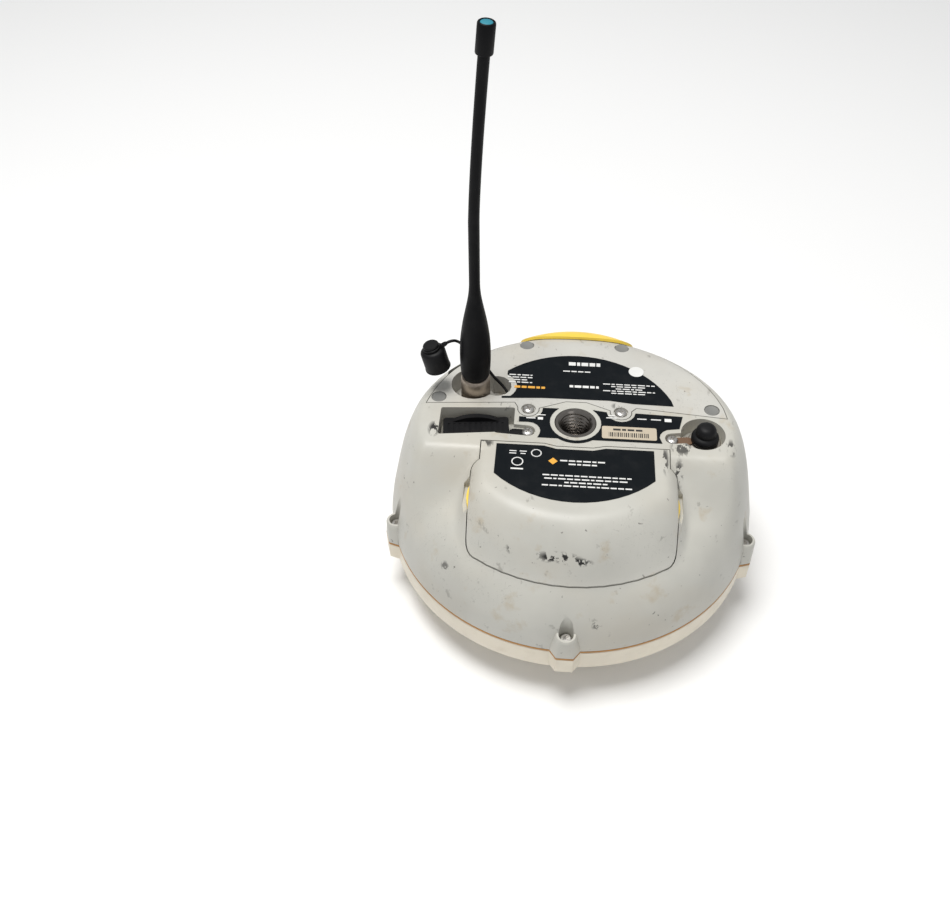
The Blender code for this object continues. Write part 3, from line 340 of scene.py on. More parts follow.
def scaled(colour, by):
    return tuple(c * by for c in colour)


def scuffed_paint(name, colour, roughness=0.42, marks=()):
    """Satin moulded paint: soft mottling, grain, tan stains, hair scratches and dark scuffs at marks."""
    look = Look(name, colour, roughness)
    broad = look.noise(22.0, 4.0)
    look.tint(look.between(broad, 0.38, 0.68), scaled(colour, 0.8), 0.6)
    look.tint(look.between(look.noise(13.0, 3.0, (1.0, 1.0, 1.6)), 0.48, 0.66), (0.52, 0.46, 0.36), 0.32)
    stain = look.noise(55.0, 5.0, rough=0.6)
    look.tint(look.between(stain, 0.60, 0.69), (0.42, 0.33, 0.20), 0.38)
    smudge = look.noise(150.0, 5.0, (1.0, 0.6, 1.0), (0.0, 0.0, 40.0), 0.65)
    look.tint(look.between(smudge, 0.64, 0.70), (0.16, 0.15, 0.13), 0.42)
    specks = look.noise(420.0, 2.0)
    look.tint(look.between(specks, 0.72, 0.75), (0.10, 0.09, 0.08), 0.7)
    for stretch, turn in (((7.0, 1.0, 1.0), (0.0, 0.0, 35.0)), ((1.0, 9.0, 1.0), (0.0, 20.0, -20.0))):
        hair = look.noise(90.0, 1.0, stretch, turn)
        fine = look.math(
            "SUBTRACT", 1.0,
            look.between(look.math("ABSOLUTE", look.math("SUBTRACT", hair, 0.62), 0.0), 0.0, 0.004)
        )
        few = look.between(look.noise(30.0, 1.0, (1.0, 1.0, 1.0), (0.0, 0.0, 70.0)), 0.52, 0.56)
        look.tint(look.math("MULTIPLY", fine, few), scaled(colour, 0.4), 0.6)
    for centre, radius, squash, amount in marks:
        rough_edge = look.noise(420.0, 4.0, (1.0, 0.4, 1.0), (0.0, 0.0, 25.0), 0.6)
        patch = look.math(
            "MULTIPLY", look.near(centre, radius, squash), look.between(rough_edge, 0.505, 0.52)
        )
        look.tint(patch, (0.015, 0.014, 0.013), amount)
    grain = look.noise(900.0, 2.0)
    look.gloss(look.noise(60.0, 3.0), roughness - 0.08, roughness + 0.12)
    look.relief(grain, 0.05, 0.35)
    return look.done()


def moulded(
    name, colour, roughness, grain=700.0, depth=0.04, dust=(0.30, 0.28, 0.24), dust_amount=0.12, shine=0.5
):
    """Plain moulded plastic or rubber with a fine grain and a little dust."""
    look = Look(name, colour, roughness, shine=shine)
    look.tint(look.between(look.noise(130.0, 4.0), 0.5, 0.75), dust, dust_amount)
    look.tint(look.between(look.noise(40.0, 2.0), 0.4, 0.7), scaled(colour, 0.75), 0.4)
    look.gloss(look.noise(200.0, 3.0), max(roughness - 0.1, 0.05), min(roughness + 0.12, 1.0))
    look.relief(look.noise(grain, 2.0), depth, 0.4)
    return look.done()


def metal(name, colour, roughness, tarnish=(0.20, 0.15, 0.10), amount=0.35, brush=(1.0, 1.0, 14.0)):
    """Turned or plated metal with tool marks and tarnish."""
    look = Look(name, colour, roughness, metallic=1.0)
    look.tint(look.between(look.noise(150.0, 4.0), 0.52, 0.7), tarnish, amount)
    look.gloss(look.noise(260.0, 3.0), roughness * 0.7, min(roughness * 1.7, 0.9))
    look.relief(look.noise(500.0, 1.0, brush), 0.02, 0.3)
    return look.done()


# ---------------------------------------------------------------- the shared outer surface


def smooth_max(a, b, k):
    h = max(k - abs(a - b), 0.0) / k
    return max(a, b) + h * h * k / 4.0


def fall(t, drop):
    return drop * max(t, 0.0) ** FALL_POWER


def surface_z(x, y):
    """Height of the grey underside: a shallow bowl, the plateau and the battery bulge."""
    r = math.hypot(x, y)
    bowl = HOUSING_BASE + (BOWL_TOP - HOUSING_BASE) * math.sqrt(max(1.0 - (r / RIM_R) ** BOWL_POWER, 0.0))
    plateau_r = r
    if r > 0.0:
        plateau_r = 1.0 / math.hypot(x / r / PLATEAU_HALF_X, y / r / PLATEAU_HALF_Y)
    side = fall((r - plateau_r) / (PLATEAU_FOOT_R - plateau_r), PLATEAU_DROP)
    ahead = max(PLATEAU_FRONT_Y - y, 0.0)
    front = FRONT_SLOPE * ahead * ahead / (ahead + 4.0)
    plateau = (side**BLEND_POWER + front**BLEND_POWER) ** (1.0 / BLEND_POWER)
    t_front = max(r - BULGE_FLAT_R, 0.0) / (BULGE_FOOT_R - BULGE_FLAT_R)
    t_side = max(abs(x) - BULGE_FLAT_X, 0.0) / (BULGE_FOOT_X - BULGE_FLAT_X)
    bulge = fall((t_front**BLEND_POWER + t_side**BLEND_POWER) ** (1.0 / BLEND_POWER), BULGE_DROP)
    both = (plateau**BLEND_POWER + bulge**BLEND_POWER) ** (1.0 / BLEND_POWER)
    drop = plateau * bulge / both if both > 0.0 else 0.0
    return smooth_max(bowl, SEAT_Z - drop, FILLET)


def surface_normal(x, y):
    step = 0.05
    slope_x = (surface_z(x + step, y) - surface_z(x - step, y)) / (2.0 * step)
    slope_y = (surface_z(x, y + step) - surface_z(x, y - step)) / (2.0 * step)
    return Vector((-slope_x, -slope_y, 1.0)).normalized()


class Shop:
    """Makes pieces and cutters in millimetres."""

    def __init__(self):
        self.looks = {}
        self.cutters = []

    def file(self, obj, look=None):
        """A visible piece when it has a look, and otherwise a cutter that is thrown away at the end."""
        obj.hide_render = look is None
        if look is None:
            self.cutters.append(obj.name)
            return obj
        obj.data.materials.clear()
        obj.data.materials.append(self.looks[look])
        return obj

    def mesh_object(self, name, bm, material=None, smooth=True):
        bmesh.ops.recalc_face_normals(bm, faces=bm.faces)
        mesh = bpy.data.meshes.new(name)
        bm.to_mesh(mesh)
        bm.free()
        if smooth:
            mesh.shade_smooth()
            mesh.set_sharp_from_angle(angle=math.radians(35.0))
        obj = bpy.data.objects.new(name, mesh)
        bpy.context.scene.collection.objects.link(obj)
        return self.file(obj, material)

    def box(self, name, size, centre, material=None, turn=0.0):
        bm = bmesh.new()
        bmesh.ops.create_cube(bm, size=1.0)
        bmesh.ops.scale(bm, vec=Vector(size) * MM, verts=bm.verts)
        obj = self.mesh_object(name, bm, material, smooth=False)
        obj.location = Vector(centre) * MM
        obj.rotation_euler.z = turn
        return obj

    def cylinder(self, name, centre, radius, z0, z1, material=None, sides=16):
        bm = bmesh.new()
        bmesh.ops.create_cone(
            bm,
            cap_ends=True,
            segments=sides,
            radius1=radius * MM,
            radius2=radius * MM,
            depth=(z1 - z0) * MM,
        )
        bmesh.ops.translate(bm, vec=Vector((centre[0], centre[1], (z0 + z1) / 2.0)) * MM, verts=bm.verts)
        return self.mesh_object(name, bm, material)

    def turned(self, name, profile, material=None, centre=(0.0, 0.0), steps=32, closed=False):
        """A profile of (radius, height) pairs, outer side top to bottom, turned about Z."""
        mesh = bpy.data.meshes.new(name)
        bm = bmesh.new()
        verts = [bm.verts.new((r * MM, 0.0, z * MM)) for r, z in profile]
        for a, b in zip(verts, verts[1:], strict=False):
            bm.edges.new((a, b))
        if closed:
            bm.edges.new((verts[-1], verts[0]))
        bm.to_mesh(mesh)
        bm.free()
        obj = bpy.data.objects.new(name, mesh)
        bpy.context.scene.collection.objects.link(obj)
        obj.location = (centre[0] * MM, centre[1] * MM, 0.0)
        screw = obj.modifiers.new("turn", "SCREW")
        screw.steps = steps
        screw.render_steps = steps
        screw.use_merge_vertices = True
        screw.merge_threshold = 0.000001
        screw.use_smooth_shade = True
        return self.file(obj, material)

    def plate(self, name, outline, z0, z1, material=None, holes=()):
        """A flat outline with holes, from z0 to z1."""
        curve = bpy.data.curves.new(name, "CURVE")
        curve.dimensions = "2D"
        curve.fill_mode = "BOTH"
        curve.extrude = (z1 - z0) / 2.0 * MM
        for points in (outline, *holes):
            spline = curve.splines.new("POLY")
            spline.points.add(len(points) - 1)
            for point, (x, y) in zip(spline.points, points, strict=True):
                point.co = (x * MM, y * MM, 0.0, 1.0)
            spline.use_cyclic_u = True
        obj = bpy.data.objects.new(name, curve)
        bpy.context.scene.collection.objects.link(obj)
        obj.location.z = (z0 + z1) / 2.0 * MM
        return self.file(self.curve_to_mesh(obj), material)

    def tube(self, name, points, radius, material, sides_resolution=2, radii=None):
        """A tube along points; radii, one a point, vary its thickness."""
        curve = bpy.data.curves.new(name, "CURVE")
        curve.dimensions = "3D"
        curve.bevel_depth = radius * MM
        curve.bevel_resolution = sides_resolution
        curve.use_fill_caps = True
        spline = curve.splines.new("POLY")
        spline.points.add(len(points) - 1)
        for i, (point, place) in enumerate(zip(spline.points, points, strict=True)):
            point.co = (*(Vector(place) * MM), 1.0)
            point.radius = radii[i] / radius if radii else 1.0
        obj = bpy.data.objects.new(name, curve)
        bpy.context.scene.collection.objects.link(obj)
        return self.file(self.curve_to_mesh(obj, smooth=True), material)

    def curve_to_mesh(self, obj, smooth=False):
        bpy.context.view_layer.update()
        evaluated = obj.evaluated_get(bpy.context.evaluated_depsgraph_get())
        mesh = bpy.data.meshes.new_from_object(evaluated)
        bm = bmesh.new()
        bm.from_mesh(mesh)
        bmesh.ops.remove_doubles(bm, verts=bm.verts, dist=0.000001)
        bmesh.ops.recalc_face_normals(bm, faces=bm.faces)
        bm.to_mesh(mesh)
        bm.free()
        if smooth:
            mesh.shade_smooth()
            mesh.set_sharp_from_angle(angle=math.radians(35.0))
        made = bpy.data.objects.new(obj.name, mesh)
        made.matrix_world = obj.matrix_world
        name = obj.name
        bpy.data.objects.remove(obj, do_unlink=True)
        made.name = name
        bpy.context.scene.collection.objects.link(made)
        return made

    def under_surface(self, name, drop=0.0, shrink=0.0, base=HOUSING_BASE, rings=(), sectors=48):
        """The solid below the grey surface, which may be lowered and shrunk to make an inner one."""
        grow = RIM_R / (RIM_R - shrink)
        lean = FIRST_SPOKE * 2.0 * math.pi / sectors
        spoke = Vector((math.cos(lean), math.sin(lean), 0.0)) * (RIM_R - shrink)
        bm = bmesh.new()
        verts = [bm.verts.new((0.0, 0.0, 0.0))]
        verts += [bm.verts.new(spoke * t) for t in rings]
        edges = [bm.edges.new(pair) for pair in zip(verts, verts[1:], strict=False)]
        bmesh.ops.spin(
            bm,
            geom=[*verts, *edges],
            axis=(0.0, 0.0, 1.0),
            cent=(0.0, 0.0, 0.0),
            dvec=(0.0, 0.0, 0.0),
            angle=2.0 * math.pi,
            steps=sectors,
            use_merge=True,
        )
        bmesh.ops.remove_doubles(bm, verts=bm.verts, dist=0.01)
        for vert in bm.verts:
            vert.co.z = surface_z(vert.co.x * grow, vert.co.y * grow) - drop
        border = [edge for edge in bm.edges if edge.is_boundary]
        skirt = bmesh.ops.extrude_edge_only(bm, edges=border)["geom"]
        lower = [item for item in skirt if isinstance(item, bmesh.types.BMVert)]
        for vert in lower:
            vert.co.z = base
        bmesh.ops.contextual_create(bm, geom=[edge for edge in bm.edges if edge.is_boundary])
        bmesh.ops.scale(bm, vec=(MM, MM, MM), verts=bm.verts)
        bmesh.ops.remove_doubles(bm, verts=bm.verts, dist=0.000001)
        bmesh.ops.triangulate(bm, faces=[face for face in bm.faces if len(face.verts) == 4])
        return self.mesh_object(name, bm)


# ---------------------------------------------------------------- shapes shared with the frame


def combine(obj, *others, how="DIFFERENCE"):
    for other in others:
        step = obj.modifiers.new(f"{how.lower()}_{other.name}", "BOOLEAN")
        step.operation = how
        step.solver = "EXACT"
        step.object = other
    return obj


def settle(obj):
    """Fixes the modifiers' result as the object's own mesh."""
    bpy.context.view_layer.update()
    evaluated = obj.evaluated_get(bpy.context.evaluated_depsgraph_get())
    mesh = bpy.data.meshes.new_from_object(evaluated)
    obj.modifiers.clear()
    obj.data = mesh
    while len(mesh.materials) > 1:
        mesh.materials.pop()
    bm = bmesh.new()
    bm.from_mesh(mesh)
    bmesh.ops.dissolve_degenerate(bm, dist=0.00001, edges=bm.edges)
    bmesh.ops.dissolve_limit(bm, angle_limit=math.radians(0.2), verts=bm.verts, edges=bm.edges)
    bm.to_mesh(mesh)
    bm.free()
    mesh.shade_smooth()
    mesh.set_sharp_from_angle(angle=math.radians(30.0))
    return obj


def arc(centre, radius, start, end, count):
    """Points on an arc, angles in degrees."""
    return [
        (
            centre[0] + radius * math.cos(math.radians(start + (end - start) * i / count)),
            centre[1] + radius * math.sin(math.radians(start + (end - start) * i / count)),
        )
        for i in range(count + 1)
    ]


def grown(points, by):
    """The closed outline moved outward by a small distance; points run counter-clockwise."""
    moved = []
    for i, point in enumerate(points):
        here = Vector(point)
        before = (here - Vector(points[i - 1])).normalized()
        after = (Vector(points[(i + 1) % len(points)]) - here).normalized()
        out = Vector((before.y + after.y, -before.x - after.x)).normalized()
        reach = by / max(out.dot(Vector((after.y, -after.x))), 0.5)
        moved.append(tuple(here + out * reach))
    return moved


def circle(centre, radius, count=24):
    return arc(centre, radius, 0.0, 360.0 * (count - 1) / count, count - 1)


def cover_outline():
    """The D-shaped radio cover: an arc behind, and two screw ears along its front edge."""
    centre = (0.0, COVER_CENTRE_Y)
    points = [(-76.0, 9.4), (-31.0, 12.9)]
    for ear in COVER_EARS:
        points += arc(ear, EAR_PLATE_R, 170.0, 370.0, 8)
        points += [(-5.0, 15.1), (5.5, 15.1)] if ear is COVER_EARS[0] else []
    points += [(30.5, 12.7), (75.6, 8.2)]
    start = math.degrees(math.atan2(8.2 - COVER_CENTRE_Y, 75.6))
    points += arc(centre, COVER_R, start, 180.0 - start, 28)[1:-1]
    return points


def door_outline(grow=0.0):
    """The battery door seen from above: a tab at the back, straight sides and a bowed front."""
    half_x, front_r, corner_r = DOOR_HALF_X + grow, DOOR_R + grow, DOOR_CORNER_R + grow
    tab_x, back_y, step_y = DOOR_TAB_X + grow, DOOR_BACK_Y + grow, DOOR_STEP_Y + grow
    corner = (half_x - corner_r, -math.sqrt((front_r - corner_r) ** 2 - (half_x - corner_r) ** 2))
    lean = math.degrees(math.atan2(-corner[1], corner[0]))
    right = arc((0.0, 0.0), front_r, -90.0, -lean, 6)
    right += arc(corner, corner_r, -lean, 0.0, 4)[1:]
    right += arc((half_x - 3.0, step_y - 3.0), 3.0, 0.0, 90.0, 3)
    right += [(tab_x, step_y), (tab_x, back_y), (15.0, back_y), (9.0, back_y - 1.6)]
    left = [(-x, y) for x, y in reversed(right)]
    return right + left[:-1]


def capsule(start, end, radius, count=6):
    """A round-ended bar between two points."""
    lean = math.degrees(math.atan2(end[1] - start[1], end[0] - start[0]))
    return arc(end, radius, lean - 90.0, lean + 90.0, count) + arc(
        start, radius, lean + 90.0, lean + 270.0, count
    )


def rounded(points, radius, count=3):
    """The closed counter-clockwise outline with its corners rounded."""
    made = []
    for i, point in enumerate(points):
        here = Vector(point)
        to_before = (Vector(points[i - 1]) - here).normalized()
        to_after = (Vector(points[(i + 1) % len(points)]) - here).normalized()
        half = to_before.angle(to_after) / 2.0
        centre = here + (to_before + to_after).normalized() * radius / math.sin(half)
        first = here + to_before * radius / math.tan(half) - centre
        last = here + to_after * radius / math.tan(half) - centre
        for j in range(count + 1):
            made.append(tuple(centre + first.slerp(last, j / count).normalized() * radius))
    return made


def rim_places(radius):
    """The five rim fastenings, the first at the front."""
    return [
        (radius * math.cos(math.radians(-90.0 + 72.0 * i)), radius * math.sin(math.radians(-90.0 + 72.0 * i)))
        for i in range(EARS)
    ]


def rim_cylinders(shop, name, places, radius, z0, z1, sides=12):
    """The same upright cylinder at each rim fastening, as one cutter of separate solids."""
    bm = bmesh.new()
    for x, y in places:
        bmesh.ops.create_cone(
            bm,
            cap_ends=True,
            segments=sides,
            radius1=radius * MM,
            radius2=radius * MM,
            depth=(z1 - z0) * MM,
            matrix=Matrix.Translation(Vector((x, y, (z0 + z1) / 2.0)) * MM),
        )
    return shop.mesh_object(name, bm)


def rim_lug(place):
    """The six-sided lug of the radome under one rim fastening."""
    lean = math.atan2(place[1], place[0])
    shape = ((92.6, -7.5), (94.6, -7.5), (99.3, -4.2), (99.3, 4.2), (94.6, 7.5), (92.6, 7.5))
    return [
        (x * math.cos(lean) - y * math.sin(lean), x * math.sin(lean) + y * math.cos(lean)) for x, y in shape
    ]


def pocket_outline(grow):
    """The antenna pocket: a round well with a smaller lobe on its right."""
    well_r = POCKET_R + grow
    lobe_r = LOBE_R + grow
    away = Vector(LOBE_CENTRE) - Vector(POCKET_CENTRE)
    apart = away.length
    along = (apart * apart + well_r * well_r - lobe_r * lobe_r) / (2.0 * apart)
    well_half = math.degrees(math.acos(along / well_r))
    lobe_half = math.degrees(math.acos((along - apart) / lobe_r))
    lean = math.degrees(math.atan2(away.y, away.x))
    points = arc(POCKET_CENTRE, well_r, lean + well_half, lean + 360.0 - well_half, 20)
    return points + arc(LOBE_CENTRE, lobe_r, lean - lobe_half, lean + lobe_half, 10)[1:-1]


def mirrored(points, side):
    """The counter-clockwise outline as it is, or mirrored to -X."""
    if side > 0.0:
        return list(points)
    return [(-x, y) for x, y in reversed(points)]


def whip_centre(z):
    """The whip leans slightly to the right above its straight lower half."""
    bent = max(z - 196.0, 0.0) / (TIP_TOP - 196.0)
    return (ANTENNA[0] + 6.0 * bent**1.35, ANTENNA[1], z)


def whip_radius(z):
    """A fat boot that narrows into the whip."""
    stations = ((105.3, 6.6), (107.0, 7.3), (113.0, 7.75), (121.0, BOOT_R), (130.0, 7.4), (139.0, 6.2))
    stations += ((147.0, 4.7), (154.0, 3.3), (160.0, WHIP_R), (273.0, 2.5))
    for (z0, r0), (z1, r1) in zip(stations, stations[1:], strict=False):
        if z <= z1:
            return r0 + (r1 - r0) * (z - z0) / (z1 - z0)
    return stations[-1][1]


def smooth_route(points, spacing):
    """Points a fixed step apart on a smooth curve through the given ones."""
    places = [Vector(point) for point in points]
    ends = [2.0 * places[0] - places[1], *places, 2.0 * places[-1] - places[-2]]
    dense = []
    for a, b, c, d in zip(ends, ends[1:], ends[2:], ends[3:], strict=False):
        for i in range(20):
            t = i / 20.0
            square = 2.0 * a - 5.0 * b + 4.0 * c - d
            cube = 3.0 * b - a - 3.0 * c + d
            dense.append(0.5 * (2.0 * b + (c - a) * t + square * t * t + cube * t**3))
    dense.append(places[-1])
    route = [dense[0]]
    for point in dense:
        if (point - route[-1]).length >= spacing:
            route.append(point)
    route[-1] = dense[-1]
    return route


def port_2_outline(half_x, half_y):
    """A rectangle in line with the slightly turned serial port."""
    corners = ((-half_x, -half_y), (half_x, -half_y), (half_x, half_y), (-half_x, half_y))
    cos, sin = math.cos(PORT_2_LEAN), math.sin(PORT_2_LEAN)
    return [(PORT_2_CENTRE[0] + x * cos - y * sin, PORT_2_CENTRE[1] + x * sin + y * cos) for x, y in corners]


def upper_label_outline():
    """A half moon on the radio cover that gives way to the antenna pocket on its left."""
    points = [(-38.0, 15.4), (-17.0, 16.9), (17.0, 17.2), (29.0, 15.6), (49.3, 15.2)]
    points += arc((0.0, -1.9), 52.7, 23.6, 133.0, 20)
    points += arc(LOBE_CENTRE, 10.4, 62.0, -45.0, 8)
    return points + [(-38.0, 16.8)]


def middle_label_outline():
    """A band that wraps the pole insert and gives way to the four screws."""
    points = [(-18.6, -11.8), *arc((0.0, 0.0), 14.6, 234.0, 306.0, 8), (42.6, -11.8)]
    points += arc(SCREWS[3], 6.2, 180.0, 90.0, 4)
    points += [(51.4, -1.0), (53.4, 7.8), (30.2, 8.6)]
    points += arc(SCREWS[2], 7.2, -5.0, -175.0, 8)
    points += arc((0.0, 0.0), 12.8, 48.0, -228.0, 22)
    points += [(-16.6, 9.4)]
    points += arc(SCREWS[0], 7.2, -15.0, -60.0, 3)
    points += [(-28.3, 2.4), (-28.3, -1.3)]
    return points + arc(SCREWS[1], 6.1, 90.0, -20.0, 5)


def lower_label_outline():
    """A bowed label on the battery door with a dip that follows the door's edge."""
    lean = math.degrees(math.atan2(37.1, 38.3))
    points = arc((0.0, 0.0), 53.4, lean - 180.0, -lean, 16)
    return points + [
        (38.3, -17.4), (15.0, -17.4), (9.0, -19.2), (-9.0, -19.2), (-15.0, -17.4), (-38.3, -17.4)
    ]


def wall_point(across, up, out):
    """A point of the far wall: across to +X, up towards the floor, and out along its normal."""
    turn = across / PANEL_R
    radius = PANEL_R + up
    x, y = radius * math.sin(turn), radius * math.cos(turn)
    return Vector((x, y, surface_z(x, y))) + surface_normal(x, y) * out


def on_wall(obj, across, out):
    """Puts an object made about the origin on the control row, its Z along the wall's normal."""
    foot = wall_point(across, PANEL_ROW, out)
    outward = (wall_point(across, PANEL_ROW, out + 1.0) - foot).normalized()
    sideways = Vector((outward.y, -outward.x, 0.0)).normalized()
    turn = Matrix((sideways, outward.cross(sideways), outward)).transposed()
    obj.matrix_world = Matrix.Translation(foot * MM) @ turn.to_4x4()
    return obj


def panel_lift(share):
    """How far the panel's crown stands off the wall, at this share of the way to its edge."""
    return PANEL_T + GAP + PANEL_CROWN * (1.0 - share * share)


def lift_at(across):
    return panel_lift(math.hypot(across / PANEL_HALF_X, PANEL_ROW / PANEL_HALF_UP))


CAP_FOOT = Vector((-70.9, 22.0, 109.2))  # the hanging cap's open end
CAP_LEAN = math.radians(-13.0)
NECK_HEIGHT = 13.1  # of the neck's groove above the cap's open end

FERRULE = (Vector((-69.13, 22.0, 123.05)), Vector((-66.0, 22.0, 125.4)))
LANYARD_ROUTE = (
    (-65.7, 22.0, 125.6),
    (-64.0, 22.6, 126.1),
    (-62.0, 24.6, 124.8),
    (-60.0, 27.6, 121.2),
    (-56.8, 31.2, 115.4),
    (-52.6, 33.6, 108.6),
    (-47.6, 33.0, 102.0),
    (-43.2, 30.4, 97.2),
    (-38.8, 28.8, 93.0),
    (-35.6, 25.6, 90.4),
    (-36.2, 21.6, 88.4),
    (-38.6, 19.6, 86.6),
    (-40.6, 19.4, 85.4),
    (-42.4, 19.9, 85.0),
)
LANYARD_R = 0.75


# ---------------------------------------------------------------- casings


def dense_rings(step):
    count = int(RIM_R / step)
    rings = [RIM_R * math.sqrt(i / count) if i < count else RIM_R for i in range(1, count + 1)]
    return tuple(radius / RIM_R for radius in rings)


def replace(piece, node, body=UNIT):
    """Lets a finished piece stand for a CAD node."""
    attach(piece, body)
    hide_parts(*([node] if isinstance(node, str) else node))
    return piece


def ring_of(bm, centre, radius, around):
    """One round ring of vertices; centre is (x, y, z)."""
    ring = []
    for j in range(around):
        turn = 2.0 * math.pi * j / around
        away = Vector((math.cos(turn), math.sin(turn), 0.0))
        ring.append(bm.verts.new((Vector(centre) + away * radius) * MM))
    return ring


def skin(bm, rings):
    """Closes a stack of rings of vertices with sides and two ends."""
    for a, b in zip(rings, rings[1:], strict=False):
        for j in range(len(a)):
            k = (j + 1) % len(a)
            bm.faces.new((a[j], a[k], b[k], b[j]))
    bm.faces.new(list(reversed(rings[0])))
    bm.faces.new(rings[-1])


def tapered_ears(shop):
    """A lug round each rim screw: six-sided at its foot, round and narrower at its top."""
    bm = bmesh.new()
    around = 48
    for place in rim_places(WELL_CENTRE_R):
        foot = [Vector(point) for point in rim_lug(place)]
        centre = Vector(place)
        rings = []
        for share in (0.0, 0.25, 0.5, 0.75, 0.92, 1.0):
            ring = []
            z = HOUSING_BASE + (EAR_TOP + 1.0 - HOUSING_BASE) * share
            for j in range(around):
                turn = 2.0 * math.pi * j / around
                ray = Vector((math.cos(turn), math.sin(turn)))
                six_sided = min(reach_of(foot, centre, ray), 7.6)
                round_r = 5.1 - (0.6 if share == 1.0 else 0.0)
                ease = share * share * (3.0 - 2.0 * share)
                point = centre + ray * (six_sided * (1.0 - ease) + round_r * ease)
                ring.append(bm.verts.new((point.x * MM, point.y * MM, z * MM)))
            rings.append(ring)
        skin(bm, rings)
    return shop.mesh_object("ear_lugs", bm)


def reach_of(outline, centre, ray):
    """How far a ray from centre runs inside a convex outline."""
    best = 1e9
    for a, b in zip(outline, outline[1:] + outline[:1], strict=True):
        edge = b - a
        cross = ray.x * edge.y - ray.y * edge.x
        if abs(cross) < 1e-9:
            continue
        along = ((a - centre).x * edge.y - (a - centre).y * edge.x) / cross
        if along > 0.0:
            best = min(best, along)
    return best


def make_housing(shop):
    housing = shop.under_surface("housing_shell", rings=dense_rings(FINE_STEP), sectors=SECTORS)
    ears = tapered_ears(shop)
    cavity = shop.under_surface(
        "cavity", drop=WALL, shrink=WALL, base=HOUSING_BASE - 4.0, rings=dense_rings(9.0), sectors=40
    )
    solids = [
        rim_cylinders(shop, "ear_bosses", rim_places(EAR_CENTRE_R), EAR_R, 30.0, 70.0),
        shop.plate("tub_walls", door_outline(3.0), DOOR_BASE - 4.0, 100.0),
        shop.plate("port_2_walls", grown(PORT_2, 2.0), PORT_2_FLOOR - 2.0, 100.0),
        shop.cylinder("port_1_walls", PORT_1_POCKET, PORT_1_POCKET_R + 2.0, PORT_1_FLOOR - 2.0, 100.0),
        shop.cylinder("insert_boss", (0.0, 0.0), INSERT_R + 3.0, SEAT_Z - INSERT_DEPTH - 2.0, 100.0),
        shop.plate("cover_ledge", grown(cover_outline(), 1.5), 89.0, 100.0),
    ]
    combine(cavity, *solids)
    settle(cavity)
    combine(housing, ears, how="UNION")
    combine(housing, cavity)
    tub = shop.plate("tub", door_outline(GAP), DOOR_BASE - GAP, 100.0)
    plinth_top = BATTERY_CENTRE[2] - BATTERY_SIZE[2] / 2.0 - GAP
    plinth = shop.box("plinth", (60.0, 28.0, 12.0), (0.0, BATTERY_CENTRE[1], plinth_top - 6.0))
    combine(tub, plinth)
    notch_foot = LATCH_Z[0] - 0.6
    notch_size = (2.0 * DOOR_HALF_X + 6.0, LATCH_LENGTH + 1.0, NOTCH_TOP + 0.25 - notch_foot)
    notch = shop.box("latch_notches", notch_size, (0.0, LATCH_Y, notch_foot + notch_size[2] / 2.0))
    settle(combine(tub, notch, how="UNION"))
    cover_pocket = shop.plate("cover_pocket", grown(cover_outline(), GAP), 80.0, 100.0)
    lowered = shop.under_surface(
        "cover_floor", drop=COVER_T + GAP, base=20.0, rings=dense_rings(6.0), sectors=64
    )
    settle(combine(cover_pocket, lowered))
    window = rounded((
        (-67.4, 11.4), (-44.0, 11.7), (-36.0, 16.0), (36.0, 17.5), (36.0, 54.0), (-48.0, 54.0),
        (-67.4, 38.0)
    ), 2.0)
    cutters = [
        rim_cylinders(shop, "wells", rim_places(WELL_CENTRE_R), WELL_R, WELL_FLOOR, 70.0, sides=36),
        rim_cylinders(shop, "rim_holes", rim_places(WELL_CENTRE_R), 1.7, 30.0, 60.0, sides=16),
        tub,
        shop.plate("port_2_pocket", rounded(PORT_2, 1.2, 4), PORT_2_FLOOR, 100.0),
        shop.plate("port_2_hole", rounded(port_2_outline(15.0, 4.6), 2.0, 4), 70.0, 100.0),
        shop.plate("port_2_channel", capsule((-38.0, -6.4), SCREWS[1], 3.6, 12), 93.6, 100.0),
        shop.cylinder("port_1_pocket", PORT_1_POCKET, PORT_1_POCKET_R, PORT_1_FLOOR, 100.0, sides=64),
        shop.cylinder("port_1_hole", PORT_1, 5.4, 70.0, 100.0, sides=24),
        shop.plate("port_1_channel", capsule(PORT_1, SCREWS[3], 3.6, 12), 93.6, 100.0),
        shop.cylinder(
            "insert_hole", (0.0, 0.0), INSERT_R + GAP, SEAT_Z - INSERT_DEPTH - GAP, 100.0, sides=72
        ),
        cover_pocket,
        shop.plate("cover_window", window, 80.0, 100.0),
        on_wall(shop.box("panel_window", (42.0, 7.6, 14.0), (0.0, 0.0, 0.0)), 0.0, 0.0),
    ]
    for i, place in enumerate(SCREWS):
        cutters.append(shop.cylinder(f"screw_hole_{i + 1}", place, 1.6, 84.0, 100.0, sides=12))
    combine(housing, *cutters)
    settle(housing)
    soften(housing)
    shop.file(housing, "grey")
    replace(housing, "housing", UNIT)


def place_in_mesh(obj):
    """Moves an object's place into its mesh, so that its texture coordinates are the frame's."""
    bpy.context.view_layer.update()
    obj.data.transform(obj.matrix_world)
    obj.matrix_world = Matrix.Identity(4)


def soften(obj, width=0.3, angle=38.0):
    """Breaks the sharp edges."""
    bevel = obj.modifiers.new("edges", "BEVEL")
    bevel.width = width * MM
    bevel.segments = 2
    bevel.limit_method = "ANGLE"
    bevel.angle_limit = math.radians(angle)
    bevel.use_clamp_overlap = True
    return obj


